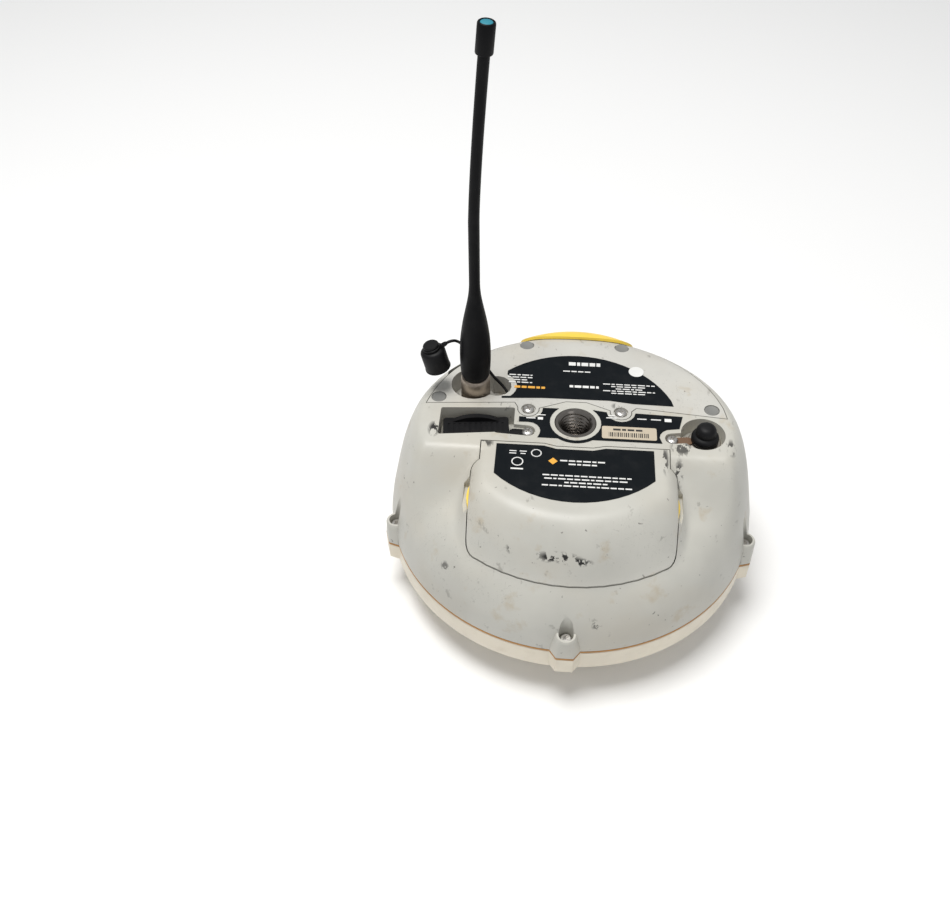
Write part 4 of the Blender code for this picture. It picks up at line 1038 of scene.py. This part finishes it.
def make_cover(shop):
    cover = shop.plate("cover_plate", grown(cover_outline(), -0.12), 80.0, 100.0)
    combine(
        cover, shop.under_surface("cover_skin", base=20.0, rings=dense_rings(FINE_STEP), sectors=SECTORS),
        how="INTERSECT"
    )
    combine(
        cover,
        shop.under_surface("cover_underside", drop=COVER_T, base=10.0, rings=dense_rings(6.0), sectors=64)
    )
    walls = shop.plate("pocket_walls", pocket_outline(1.2), POCKET_FLOOR - 2.0, SEAT_Z - 1.1)
    combine(cover, walls, how="UNION")
    combine(cover, shop.plate("antenna_pocket", pocket_outline(0.0), POCKET_FLOOR, 100.0))
    combine(cover, shop.cylinder("jack_hole", ANTENNA, 5.9, 70.0, 100.0, sides=36))
    for i, place in enumerate(COVER_EARS):
        combine(cover, shop.cylinder(f"ear_counterbore_{i + 1}", place, 3.7, 94.5, 100.0, sides=36))
        combine(cover, shop.cylinder(f"ear_hole_{i + 1}", place, 1.6, 80.0, 100.0, sides=12))
    for i, place in enumerate(PLUGS):
        foot = surface_z(*place) - 1.3
        combine(cover, shop.cylinder(f"plug_seat_{i + 1}", place, PLUG_R + GAP, foot, 100.0, sides=36))
    settle(cover)
    place_in_mesh(cover)
    soften(cover)
    shop.file(cover, "cover")
    replace(cover, "radio_cover", UNIT)
    for i, place in enumerate(PLUGS):
        top = surface_z(*place)
        profile = [
            (0.0, top - 0.35), (PLUG_R - 1.0, top - 0.35), (PLUG_R - 0.6, top - 0.15),
            (PLUG_R - 0.2, top - 0.15)
        ]
        profile += [(PLUG_R, top - 0.35), (PLUG_R, top - 1.3 + GAP), (0.0, top - 1.3 + GAP)]
        plug = shop.turned(f"plug_{i + 1}", profile, "plug", place, steps=36)
        replace(plug, f"cover_plug_{i + 1}", UNIT)


def make_door(shop):
    rings = dense_rings(FINE_STEP)
    door = shop.plate("door_shell", door_outline(-SEAM), DOOR_BASE, 100.0)
    combine(door, shop.under_surface("door_skin", base=20.0, rings=rings, sectors=SECTORS), how="INTERSECT")
    hollow = shop.plate("door_hollow", door_outline(-DOOR_WALL), DOOR_BASE - 4.0, 99.0)
    inside = shop.under_surface(
        "door_underside", drop=DOOR_WALL, base=10.0, rings=dense_rings(5.0), sectors=64
    )
    settle(combine(hollow, inside, how="INTERSECT"))
    combine(door, hollow)
    for side in (-1.0, 1.0):
        slot_z = (LATCH_Z[0] + LATCH_Z[1]) / 2.0
        slot_size = (12.0, LATCH_LENGTH + 2.0 * GAP, LATCH_Z[1] - LATCH_Z[0] + 2.0 * GAP)
        combine(door, shop.box(f"latch_slot_{int(side)}", slot_size, (side * DOOR_HALF_X, LATCH_Y, slot_z)))
    settle(door)
    place_in_mesh(door)
    soften(door, 0.5)
    shop.file(door, "door")
    replace(door, "battery_door", "door")


def make_radome(shop):
    inner = [(0.0, 3.0), (28.0, 3.0), (61.5, 6.4), (78.5, 11.4), (89.0, 21.0)]
    inner += [(89.0, 30.0), (92.0, 30.0), (92.0, RADOME_TOP)]
    outer = [(RIM_R - 0.4, RADOME_TOP), (RIM_R, RADOME_TOP - 0.4), (RIM_R, 22.9), (94.8, 22.0), (94.2, 21.2)]
    for i in range(1, 13):
        share = i / 12.0
        outer.append((94.2 - 66.2 * share, 21.2 * (1.0 - share) ** 1.9))
    outer.append((0.0, 0.0))
    radome = shop.turned("dome", inner + outer, steps=SECTORS)
    for i, place in enumerate(rim_places(WELL_CENTRE_R)):
        combine(radome, shop.plate(f"radome_lug_{i + 1}", rim_lug(place), 24.4, RADOME_TOP), how="UNION")
    combine(radome, rim_cylinders(shop, "radome_holes", rim_places(WELL_CENTRE_R), 1.7, 25.6, 60.0, sides=14))
    settle(radome)
    soften(radome)
    shop.file(radome, "cream")
    replace(radome, "radome", UNIT)


def make_gasket(shop):
    outline = []
    for i in range(EARS):
        middle = -90.0 + 72.0 * i
        lug = rim_lug((math.cos(math.radians(middle)), math.sin(math.radians(middle))))
        outline += lug[1:5]
        outline += arc((0.0, 0.0), RIM_R, middle + 5.2, middle + 66.8, 40)
    holes = [circle((0.0, 0.0), 91.0, 90)]
    holes += [circle(place, 1.9, 16) for place in rim_places(WELL_CENTRE_R)]
    gasket = shop.plate("seal", outline, RADOME_TOP + GAP, GASKET_TOP, "amber", holes)
    replace(gasket, "rim_gasket", UNIT)


def make_front_panel(shop):
    bm = bmesh.new()
    shares = [i / 9.0 for i in range(10)]
    verts = [bm.verts.new((share, 0.0, 0.0)) for share in shares]
    edges = [bm.edges.new(pair) for pair in zip(verts, verts[1:], strict=False)]
    bmesh.ops.spin(
        bm, geom=[*verts, *edges], axis=(0.0, 0.0, 1.0), cent=(0.0, 0.0, 0.0), dvec=(0.0, 0.0, 0.0),
        angle=2.0 * math.pi, steps=72, use_merge=True
    )
    bmesh.ops.remove_doubles(bm, verts=bm.verts, dist=0.001)
    for vert in bm.verts:
        share = math.hypot(vert.co.x, vert.co.y)
        across, up = vert.co.x * PANEL_HALF_X, vert.co.y * PANEL_HALF_UP
        vert.co = wall_point(across, -up, panel_lift(share)) * MM
    panel = shop.mesh_object("panel_shell", bm)
    if panel.data.polygons[0].normal.y < 0.0:
        panel.data.flip_normals()
    wall = panel.modifiers.new("wall", "SOLIDIFY")
    wall.thickness = PANEL_T * MM
    wall.offset = -1.0
    hole = shop.cylinder("button_hole", (0.0, 0.0), BUTTON_R + 0.35, -5.0, 12.0, sides=48)
    combine(panel, on_wall(hole, BUTTON_X, 0.0))
    for i, across in enumerate(LED_X):
        hole = shop.cylinder(f"led_hole_{i + 1}", (0.0, 0.0), LED_R + 0.3, -5.0, 12.0, sides=24)
        combine(panel, on_wall(hole, across, 0.0))
    settle(panel)
    soften(panel, 0.3)
    shop.file(panel, "yellow")
    replace(panel, "front_panel", UNIT)
    crown = lift_at(BUTTON_X)
    foot = crown - PANEL_T - 0.3
    profile = [
        (0.0, crown + 0.7), (2.6, crown + 0.75), (BUTTON_R - 1.0, crown + 0.9),
        (BUTTON_R - 0.4, crown + 0.75)
    ]
    profile += [(BUTTON_R, crown + 0.2), (BUTTON_R, foot), (1.5, foot), (1.5, -4.5), (0.0, -4.5)]
    button = on_wall(shop.turned("button_cap", profile, "button", steps=48), BUTTON_X, 0.0)
    replace(button, "power_button", "power_button")
    for i, across in enumerate(LED_X):
        top = lift_at(across) + 0.3
        lens = [
            (0.0, top), (LED_R * 0.5, top - 0.08), (LED_R * 0.85, top - 0.35), (LED_R, top - 0.8),
            (LED_R, -4.6), (0.0, -4.6)
        ]
        made = on_wall(shop.turned(f"lens_{i + 1}", lens, "lens", steps=28), across, 0.0)
        replace(made, f"led_lens_{i + 1}", UNIT)


# ---------------------------------------------------------------- metalwork


def make_insert(shop):
    """The nickel insert with its helical pole thread."""
    foot = SEAT_Z - INSERT_DEPTH
    around, per_turn = 96, 10
    rows = [(INSERT_R, foot), (INSERT_R, SEAT_Z - 0.2), (INSERT_R - 0.2, SEAT_Z), (THREAD_MOUTH_R, SEAT_Z)]
    depth_rows = int((INSERT_DEPTH - 1.6 - 1.2) / THREAD_PITCH * per_turn)
    bm = bmesh.new()
    rings = []
    for radius, z in rows:
        rings.append([(radius, z)] * around)
    for i in range(depth_rows + 1):
        z = SEAT_Z - 1.0 - i * THREAD_PITCH / per_turn
        ring = []
        for j in range(around):
            phase = (z / THREAD_PITCH - j / around) % 1.0
            groove = abs(2.0 * phase - 1.0) ** 0.9
            fade = min(i / per_turn / 0.5, 1.0)
            ring.append((THREAD_MINOR_R + 0.05 + 0.95 * (1.0 - groove) * fade + 0.7 * (1.0 - fade), z))
        rings.append(ring)
    rings.append([(THREAD_MINOR_R, foot + 1.6)] * around)
    grid = []
    for ring in rings:
        row = []
        for j, (radius, z) in enumerate(ring):
            turn = 2.0 * math.pi * j / around
            row.append(bm.verts.new((radius * MM * math.cos(turn), radius * MM * math.sin(turn), z * MM)))
        grid.append(row)
    skin(bm, grid)
    # The thread finish's dark base colour is painted shade inside the hole.
    insert = shop.mesh_object("thread_insert", bm, "thread")
    replace(insert, "pole_insert", UNIT)


def make_screws(shop):
    for i, place in enumerate(SCREWS):
        foot = 94.8 if place in COVER_EARS else 94.3
        profile = [
            (0.0, foot + 1.9), (1.2, foot + 1.85), (2.1, foot + 1.6), (2.7, foot + 1.15),
            (SCREW_R, foot + 0.6), (SCREW_R, foot), (1.3, foot)
        ]
        profile += [(1.3, 85.5), (0.0, 84.8)]
        screw = shop.turned(f"cross_screw_{i + 1}", profile, "steel", place, steps=36)
        for turn in (0.0, 90.0):
            lean = math.radians(turn + 25.0 + 31.0 * i)
            combine(screw, shop.box(
                f"cross_{i + 1}_{int(turn)}", (3.4, 0.75, 2.2), (place[0], place[1], foot + 1.9),
                turn=lean
            ))
        settle(screw)
        shop.file(screw, "steel")
        replace(screw, f"panel_screw_{i + 1}", UNIT)
    for i, place in enumerate(rim_places(WELL_CENTRE_R)):
        profile = [
            (0.0, 45.2), (2.3, 45.2), (2.55, 45.05), (RIM_SCREW_HEAD_R, 44.8), (RIM_SCREW_HEAD_R, 42.3),
            (1.4, 42.3), (1.4, 26.2), (0.0, 25.9)
        ]
        screw = shop.turned(f"socket_screw_{i + 1}", profile, "steel", place, steps=34)
        combine(screw, shop.cylinder(f"hex_socket_{i + 1}", place, 1.45, 43.4, 47.0, sides=6))
        settle(screw)
        shop.file(screw, "steel")
        replace(screw, f"rim_screw_{i + 1}", UNIT)


def make_antenna(shop):
    jack = [
        (4.9, 93.6), (5.5, 93.2), (5.2, 92.8), (5.5, 92.4), (5.2, 92.0), (5.5, 91.6), (5.2, 91.2),
        (5.5, 90.8)
    ]
    jack += [(5.5, 81.7), (7.5, 81.7), (7.5, 80.0), (2.4, 80.0), (2.4, 93.6)]
    replace(shop.turned("jack", jack, "nickel", ANTENNA, steps=48, closed=True), "tnc_jack", UNIT)
    nut = shop.cylinder("hex_nut", ANTENNA, 7.9, 85.6, 87.8, sides=6)
    combine(nut, shop.cylinder("nut_bore", ANTENNA, 5.8, 80.0, 95.0, sides=40))
    settle(nut)
    soften(nut, 0.25)
    # The nut takes the thread finish, whose dark base colour is painted shade.
    shop.file(nut, "thread")
    replace(nut, "tnc_nut", UNIT)
    collar = [
        (6.3, COLLAR_TOP), (7.1, COLLAR_TOP - 0.5), (7.3, COLLAR_TOP - 1.4), (COLLAR_R, COLLAR_TOP - 1.8)
    ]
    collar += [
        (COLLAR_R, 96.2), (7.2, 95.9), (7.2, 95.2), (COLLAR_R, 94.9), (COLLAR_R, 89.0), (7.1, 88.3),
        (7.0, 88.1), (5.8, 88.1)
    ]
    collar += [(5.8, 94.4), (2.6, 94.4), (2.6, COLLAR_TOP)]
    piece = shop.turned("collar", collar, "collar", ANTENNA, steps=64, closed=True)
    replace(piece, "antenna_collar", "antenna")
    spine = [105.3 + i * 1.5 for i in range(40)]
    spine += [spine[-1] + (TIP_BASE - spine[-1]) * i / 30.0 for i in range(1, 31)]
    bm = bmesh.new()
    around = 40
    skin(bm, [ring_of(bm, whip_centre(z), boot_radius(z), around) for z in spine])
    whip = shop.mesh_object("whip", bm, "whip")
    replace(whip, "antenna_whip", "antenna")
    lean = math.atan2(whip_centre(TIP_TOP)[0] - whip_centre(TIP_BASE)[0], TIP_TOP - TIP_BASE)
    foot = Vector(whip_centre(TIP_BASE + GAP))
    length = TIP_TOP - TIP_BASE - 0.6
    tip = [
        (0.0, length - 1.2), (2.8, length - 1.2), (2.9, length - 0.1), (3.2, length),
        (TIP_R - 0.2, length - 0.3), (TIP_R, length - 0.9)
    ]
    tip += [(TIP_R, 0.6), (TIP_R - 0.15, 0.2), (3.2, 0.0), (0.0, 0.0)]
    cap = shop.turned("tip", tip, "whip", steps=40)
    disc = shop.turned("tip_disc", [
        (0.0, length - 0.2), (2.4, length - 0.2), (2.6, length - 0.35), (2.6, length - 0.9),
        (0.0, length - 0.9)
    ], "teal", steps=40)
    for obj, node, slot in ((cap, "antenna_tip", "rubber"), (disc, "antenna_tip_disc", "teal")):
        obj.location = foot * MM
        obj.rotation_euler.y = lean
        replace(obj, node, "antenna")


def boot_radius(z):
    """The boot swells above its foot and tapers smoothly into the whip."""
    if z <= 112.0:
        return whip_radius(z)
    least = WHIP_R if z < 200.0 else 2.55
    return max(least, sum(whip_radius(z + d) for d in (-3.0, -1.5, 0.0, 1.5, 3.0)) / 5.0)


# ---------------------------------------------------------------- caps and cord


def fluted(obj, count, depth, z0, z1):
    """Presses vertical grip flutes into a turned piece between two heights of its own axis."""
    for vert in obj.data.vertices:
        x, y, z = (c / MM for c in vert.co)
        radius = math.hypot(x, y)
        if radius > 6.1 and z0 < z < z1:
            wave = 0.5 - 0.5 * math.cos(count * math.atan2(y, x))
            shrink = 1.0 - depth * wave / radius
            vert.co.x *= shrink
            vert.co.y *= shrink


def make_dust_cap(shop):
    body = [
        (0.0, 15.2), (3.0, 15.2), (3.7, 15.1), (4.05, 14.7), (4.1, 14.2), (3.7, 13.95), (3.0, 13.9),
        (3.0, 12.3), (4.4, 12.2)
    ]
    body += [
        (5.5, 11.8), (6.1, 11.2), (6.4, 10.4), (6.4, 9.8), (6.4, 1.5), (6.4, 1.0), (6.6, 0.7), (6.6, 0.0),
        (5.8, 0.0)
    ]
    body += [(5.8, 9.6), (0.0, 9.6)]
    cap = shop.turned("hung_cap", body, "rubber", steps=96)
    settle(cap)
    fluted(cap, 20, 0.4, 1.2, 10.2)
    shop.file(cap, "rubber")
    ring = [(3.9 + x, NECK_HEIGHT + z) for x, z in reversed(circle((0.0, 0.0), 0.65, 12))]
    loop = shop.turned("cord_loop", ring, "rubber", steps=40, closed=True)
    for obj in (cap, loop):
        obj.location = CAP_FOOT * MM
        obj.rotation_euler.y = CAP_LEAN
    replace(cap, "dust_cap", UNIT)
    replace(loop, "lanyard_loop", UNIT)
    start, end = FERRULE
    barrel = [start.lerp(end, i / 6.0) for i in range(7)]
    ferrule = shop.tube(
        "ferrule", barrel, 1.2, "rubber", sides_resolution=5, radii=[0.8, 1.05, 1.2, 1.2, 1.2, 1.05, 0.8]
    )
    replace(ferrule, "lanyard_ferrule", UNIT)
    route = list(reversed(smooth_route(LANYARD_ROUTE, 1.1)))
    curve = bpy.data.curves.new("cord", "CURVE")
    curve.dimensions = "3D"
    curve.bevel_depth = LANYARD_R * MM
    curve.bevel_resolution = 4
    curve.use_fill_caps = True
    spline = curve.splines.new("POLY")
    spline.points.add(len(route) - 1)
    for point, place in zip(spline.points, route, strict=True):
        point.co = (*(Vector(place) * MM), 1.0)
    cord = bpy.data.objects.new("cord", curve)
    bpy.context.scene.collection.objects.link(cord)
    curve.materials.append(shop.looks["rubber"])
    replace(cord, "lanyard", UNIT)


def make_port_2(shop):
    cap = shop.plate("serial_cap", rounded(port_2_outline(16.6, 5.9), 1.6, 6), PORT_2_FLOOR + GAP, 92.0)
    tab = shop.plate("serial_tab", arc((0.0, -16.8), 24.0, 54.0, 126.0, 36), -1.3, 1.3)
    tab.rotation_euler = (math.radians(90.0), 0.0, PORT_2_LEAN)
    tab.location = Vector((PORT_2_CENTRE[0] - 3.9 * math.sin(PORT_2_LEAN), PORT_2_CENTRE[1] + 3.9, 88.0)) * MM
    combine(cap, tab, how="UNION")
    combine(cap, shop.plate("serial_inside", rounded(port_2_outline(14.7, 4.5), 2.0, 5), 80.0, 90.4))
    for i in range(11):
        along = -13.5 + 2.7 * i
        centre = (
            PORT_2_CENTRE[0] + along * math.cos(PORT_2_LEAN) + 1.6 * math.sin(PORT_2_LEAN),
            PORT_2_CENTRE[1] + along * math.sin(PORT_2_LEAN) - 1.6, 92.0
        )
        combine(cap, shop.box(f"serial_groove_{i + 1}", (1.1, 7.2, 0.9), centre, turn=PORT_2_LEAN))
    settle(cap)
    soften(cap, 0.25)
    shop.file(cap, "rubber")
    replace(cap, "port_2_cap", "port_2_cap")


def make_port_1(shop):
    barrel = [
        (6.4, 93.3), (7.6, 93.2), (8.0, 93.0), (8.3, 92.5), (8.3, PORT_1_FLOOR + GAP),
        (5.1, PORT_1_FLOOR + GAP)
    ]
    barrel += [(5.1, 80.0), (4.0, 80.0), (4.0, 88.0), (5.9, 88.0), (5.9, 93.0)]
    replace(
        shop.turned("round_socket", barrel, "nickel", PORT_1, steps=64, closed=True), "port_1_connector",
        UNIT
    )
    cap = [
        (0.0, 103.4), (1.8, 103.35), (3.2, 103.0), (4.3, 102.2), (4.9, 101.0), (5.15, 99.8), (5.1, 98.6),
        (4.95, 98.2)
    ]
    cap += [
        (5.2, 98.0), (6.1, 97.6), (6.6, 96.9), (6.8, 96.0), (6.8, 94.3), (6.7, 94.1), (5.5, 94.1),
        (5.5, 89.6), (0.0, 89.6)
    ]
    replace(shop.turned("round_cap", cap, "rubber", PORT_1, steps=64), "port_1_cap", "port_1_cap")


# ---------------------------------------------------------------- labels


def fine(outline, spacing=1.0):
    """The outline with extra points, so that its curves stay smooth."""
    made = []
    for a, b in zip(outline, outline[1:] + outline[:1], strict=True):
        count = max(int(math.dist(a, b) / spacing), 1)
        made += [(a[0] + (b[0] - a[0]) * i / count, a[1] + (b[1] - a[1]) * i / count) for i in range(count)]
    return made


def print_bars(shop, name, bars, look, foot, body):
    """Thin printed bars, each (x, y, width, height, degrees), joined into one piece."""
    bm = bmesh.new()
    for x, y, width, height, lean in bars:
        bmesh.ops.create_cube(
            bm,
            size=1.0,
            matrix=Matrix.Translation(Vector((x, y, foot + 0.02)) * MM)
            @ Matrix.Rotation(math.radians(lean), 4, "Z")
            @ Matrix.Diagonal((width * MM, height * MM, 0.04 * MM, 1.0)),
        )
    piece = shop.mesh_object(name, bm, look, smooth=False)
    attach(piece, body)
    return piece


def text_rows(x, y, rows, width, pitch, height, seed):
    """Generic print: short bars of mixed lengths in centred rows."""
    bars = []
    for row in range(rows):
        span = width * (0.72 + 0.28 * math.sin(seed + row * 2.1))
        at = x - span / 2.0
        step = 0
        while at < x + span / 2.0 - 0.8:
            word = 1.5 + 2.2 * abs(math.sin(seed * 3.7 + row * 5.3 + step * 1.9))
            word = min(word, x + span / 2.0 - at)
            bars.append((at + word / 2.0, y - row * pitch, word, height, 0.0))
            at += word + 0.7
            step += 1
    return bars


def make_labels(shop):
    foot = SEAT_Z + 0.05
    top = foot + LABEL_T + 0.01
    for name, outline, body in (
        ("label_upper", upper_label_outline(), UNIT),
        ("label_middle", middle_label_outline(), UNIT),
        ("label_lower", lower_label_outline(), "door"),
    ):
        label = shop.plate(f"{name}_film", fine(outline), foot, foot + LABEL_T, "label")
        replace(label, name, body)
    serial = rounded(((13.1, -10.3), (40.0, -10.3), (40.0, -1.7), (13.1, -1.7)), 1.0, 6)
    plate = shop.plate("serial_film", serial, foot + LABEL_T + 0.05, foot + 2.0 * LABEL_T, "silver")
    replace(plate, "serial_plate", UNIT)
    codes = []
    at = 16.6
    step = 0
    while at < 36.5:
        width = 0.25 + 0.35 * abs(math.sin(step * 2.3))
        codes.append((at, -7.4, width, 3.0, 0.0))
        at += width + 0.3 + 0.3 * abs(math.cos(step * 1.3))
        step += 1
    codes += text_rows(26.5, -3.9, 1, 19.0, 1.5, 1.3, 0.4)
    print_bars(shop, "serial_print", codes, "ink", foot + 2.0 * LABEL_T, UNIT)
    white = text_rows(-29.0, 33.6, 4, 15.0, 1.9, 0.75, 0.3)
    white += text_rows(27.0, 29.6, 5, 27.0, 1.7, 0.7, 1.2)
    white += text_rows(0.0, 38.2, 1, 15.0, 1.6, 0.8, 2.2)
    white += text_rows(4.0, 26.6, 1, 16.0, 3.0, 1.7, 0.9)
    print_bars(shop, "upper_print", white, "white_ink", top, UNIT)
    orange = text_rows(-24.0, 24.4, 1, 16.0, 2.0, 1.6, 1.9)
    print_bars(shop, "upper_print_orange", orange, "orange_ink", top, UNIT)
    heading = text_rows(4.0, 44.2, 1, 21.0, 3.0, 2.6, 2.9)
    print_bars(shop, "upper_print_large", heading, "white_ink", top, UNIT)
    middle = [
        (46.0, 4.6, 3.4, 2.2, 0.0), (-17.6, 1.6, 2.6, 1.8, 0.0), (-17.4, 4.2, 4.6, 0.6, 0.0),
        (40.0, 4.6, 5.0, 0.7, 0.0), (33.0, 4.6, 4.6, 0.7, 0.0)
    ]
    middle += [(18.0, 4.4, 5.4, 0.7, 0.0), (18.0, 6.0, 3.4, 0.7, 0.0), (-22.4, 1.6, 4.6, 0.7, 0.0)]
    print_bars(shop, "middle_print", middle, "white_ink", top, UNIT)
    lower = text_rows(6.0, -36.8, 4, 48.0, 2.2, 0.8, 0.6)
    lower += text_rows(4.0, -27.0, 2, 22.0, 2.2, 0.9, 1.4)
    lower += [
        (-30.0, -22.0, 3.4, 0.6, 0.0), (-30.0, -23.6, 3.4, 0.6, 0.0), (-25.0, -22.0, 3.4, 0.6, 0.0),
        (-25.0, -23.6, 2.4, 0.6, 0.0)
    ]
    lower += [(-27.5, -33.8, 6.0, 0.9, 0.0)]
    for x, y, radius in ((-18.6, -22.8, 2.3), (-27.5, -29.0, 2.6)):
        for degrees in range(0, 360, 20):
            turn = math.radians(degrees)
            lower.append((x + radius * math.cos(turn), y + radius * math.sin(turn), 0.9, 0.55, degrees + 90.0))
    print_bars(shop, "lower_print", lower, "white_ink", top, "door")
    print_bars(shop, "lower_sign", [(-10.4, -27.6, 3.2, 3.2, 45.0)], "orange_ink", top, "door")
    spot = shop.cylinder(
        "sticker", (31.0, 40.2), 3.9, foot + LABEL_T + 0.01, foot + LABEL_T + 0.08, "white_ink", sides=40
    )
    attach(spot, UNIT)


# ---------------------------------------------------------------- everything together


def on_surface(x, y):
    return (x, y, surface_z(x, y))


def make_looks(shop):
    grey = (0.56, 0.55, 0.50)
    body_marks = [
        (on_surface(-70.0, -9.0), 5.0, (1.4, 0.8, 1.0), 1.0),
        (on_surface(-36.0, 10.5), 3.6, (1.0, 1.0, 1.0), 0.7),
        (on_surface(52.0, -14.0), 6.5, (1.0, 1.0, 1.0), 0.85),
        (on_surface(76.0, -12.0), 5.0, (1.6, 0.8, 1.0), 0.85),
        (on_surface(50.5, -26.0), 7.0, (2.6, 0.6, 1.0), 0.9),
        (on_surface(-60.0, -66.0), 3.0, (1.0, 1.0, 1.0), 0.7),
        (on_surface(14.0, -91.0), 3.0, (1.0, 1.0, 1.0), 0.7),
    ]
    door_marks = [
        (on_surface(-7.0, -74.5), 9.0, (0.7, 3.4, 2.4), 1.0),
        (on_surface(3.0, -75.5), 7.0, (0.8, 3.6, 2.4), 1.0),
        (on_surface(-28.0, -70.0), 3.0, (1.0, 1.0, 1.0), 0.7),
        (on_surface(-43.5, -17.0), 3.6, (0.8, 1.0, 1.0), 0.85),
        (on_surface(43.5, -23.0), 6.5, (3.0, 0.6, 1.0), 0.85),
    ]
    shop.looks = {
        "grey": scuffed_paint("housing_paint", grey, 0.42, body_marks),
        "cover": scuffed_paint(
            "cover_paint", (0.57, 0.56, 0.52), 0.45, [((20.0, 13.5, 96.0), 2.5, (1.0, 1.0, 1.0), 0.6)]
        ),
        "door": scuffed_paint("door_paint", (0.57, 0.56, 0.51), 0.4, door_marks),
        "cream": moulded("radome_cream", (0.80, 0.73, 0.60), 0.4, 300.0, 0.03, (0.50, 0.42, 0.30), 0.25),
        "plug": moulded("plug_grey", (0.22, 0.22, 0.21), 0.6),
        "amber": moulded("seal_amber", (0.50, 0.24, 0.06), 0.55, 300.0, 0.05, (0.2, 0.09, 0.02), 0.3),
        "yellow": moulded("panel_yellow", (0.93, 0.66, 0.08), 0.42, 500.0, 0.04, (0.55, 0.38, 0.10), 0.2),
        "rubber": moulded(
            "cap_rubber", (0.005, 0.005, 0.006), 0.5, 500.0, 0.05, (0.06, 0.055, 0.05), 0.2, 0.22
        ),
        "whip": moulded(
            "whip_rubber", (0.003, 0.003, 0.004), 0.5, 600.0, 0.04, (0.03, 0.03, 0.03), 0.15, 0.15
        ),
        "label": moulded(
            "label_film", (0.003, 0.005, 0.007), 0.42, 300.0, 0.01, (0.035, 0.035, 0.035), 0.2, 0.14
        ),
        "silver": moulded("serial_foil", (0.60, 0.52, 0.40), 0.32, 300.0, 0.01, (0.30, 0.24, 0.16), 0.3),
        "ink": moulded("black_print", (0.02, 0.02, 0.02), 0.5, 300.0, 0.005),
        "white_ink": moulded("white_print", (0.80, 0.80, 0.78), 0.5, 300.0, 0.005),
        "orange_ink": moulded("orange_print", (0.85, 0.42, 0.05), 0.5, 300.0, 0.005),
        "teal": moulded("tip_teal", (0.02, 0.22, 0.30), 0.5, 400.0, 0.02),
        "button": moulded("button_grey", (0.30, 0.30, 0.29), 0.45, 400.0, 0.03),
        "lens": moulded("lens_smoke", (0.20, 0.10, 0.06), 0.2, 400.0, 0.005),
        "white": moulded("inner_plastic", (0.62, 0.62, 0.58), 0.5),
        "strap": moulded("strap_brown", (0.16, 0.09, 0.05), 0.5),
        "board": moulded("board_green", (0.02, 0.14, 0.06), 0.45, 300.0, 0.02, (0.30, 0.22, 0.08), 0.35),
        "ceramic": moulded("element_ceramic", (0.66, 0.62, 0.52), 0.6),
        "pack": moulded("battery_shell", (0.05, 0.05, 0.055), 0.45),
        # The thread finish's dark base colour is painted shade inside the thread hole, not the plated nickel's
        # own tone; the nut in the antenna pocket shares it.
        "thread": metal("thread_nickel_painted_shade", (0.26, 0.24, 0.22), 0.2, (0.12, 0.10, 0.08), 0.25),
        "nickel": metal("plated_nickel", (0.62, 0.57, 0.50), 0.32),
        "collar": metal("collar_nickel", (0.42, 0.36, 0.30), 0.36, (0.12, 0.09, 0.07), 0.55),
        "steel": metal("screw_steel", (0.70, 0.68, 0.65), 0.28, (0.30, 0.24, 0.18), 0.3),
        "tin": metal("tinned_sheet", (0.60, 0.60, 0.60), 0.4, (0.35, 0.33, 0.30), 0.3),
    }


def dress_nodes(shop):
    """Gives every CAD node that stays visible its finish."""
    finishes = {
        "yellow": ("latch_left", "latch_right"),
        "nickel": ("lanyard_ring", "port_2_connector"),
        "rubber": ("port_2_strap",),
        "strap": ("port_1_strap",),
        "pack": ("battery",),
        "white": ("battery_contacts", "antenna_pin"),
        "board": ("panel_board", "main_board"),
        "tin": ("ground_plane", "rf_shield", "radio_module"),
        "ceramic": ("antenna_element",),
    }
    for look, names in finishes.items():
        for name in names:
            mesh = NODES[name].data
            mesh.materials.clear()
            mesh.materials.append(shop.looks[look])


make_camera()
make_studio()
shop = Shop()
make_looks(shop)
make_dust_cap(shop)
make_housing(shop)
make_cover(shop)
make_door(shop)
make_radome(shop)
make_gasket(shop)
make_front_panel(shop)
make_insert(shop)
make_screws(shop)
make_antenna(shop)
make_port_2(shop)
make_port_1(shop)
make_labels(shop)
dress_nodes(shop)
for name in shop.cutters:
    if name in bpy.data.objects and bpy.data.objects[name].hide_render:
        bpy.data.objects.remove(bpy.data.objects[name], do_unlink=True)

bpy.context.view_layer.update()
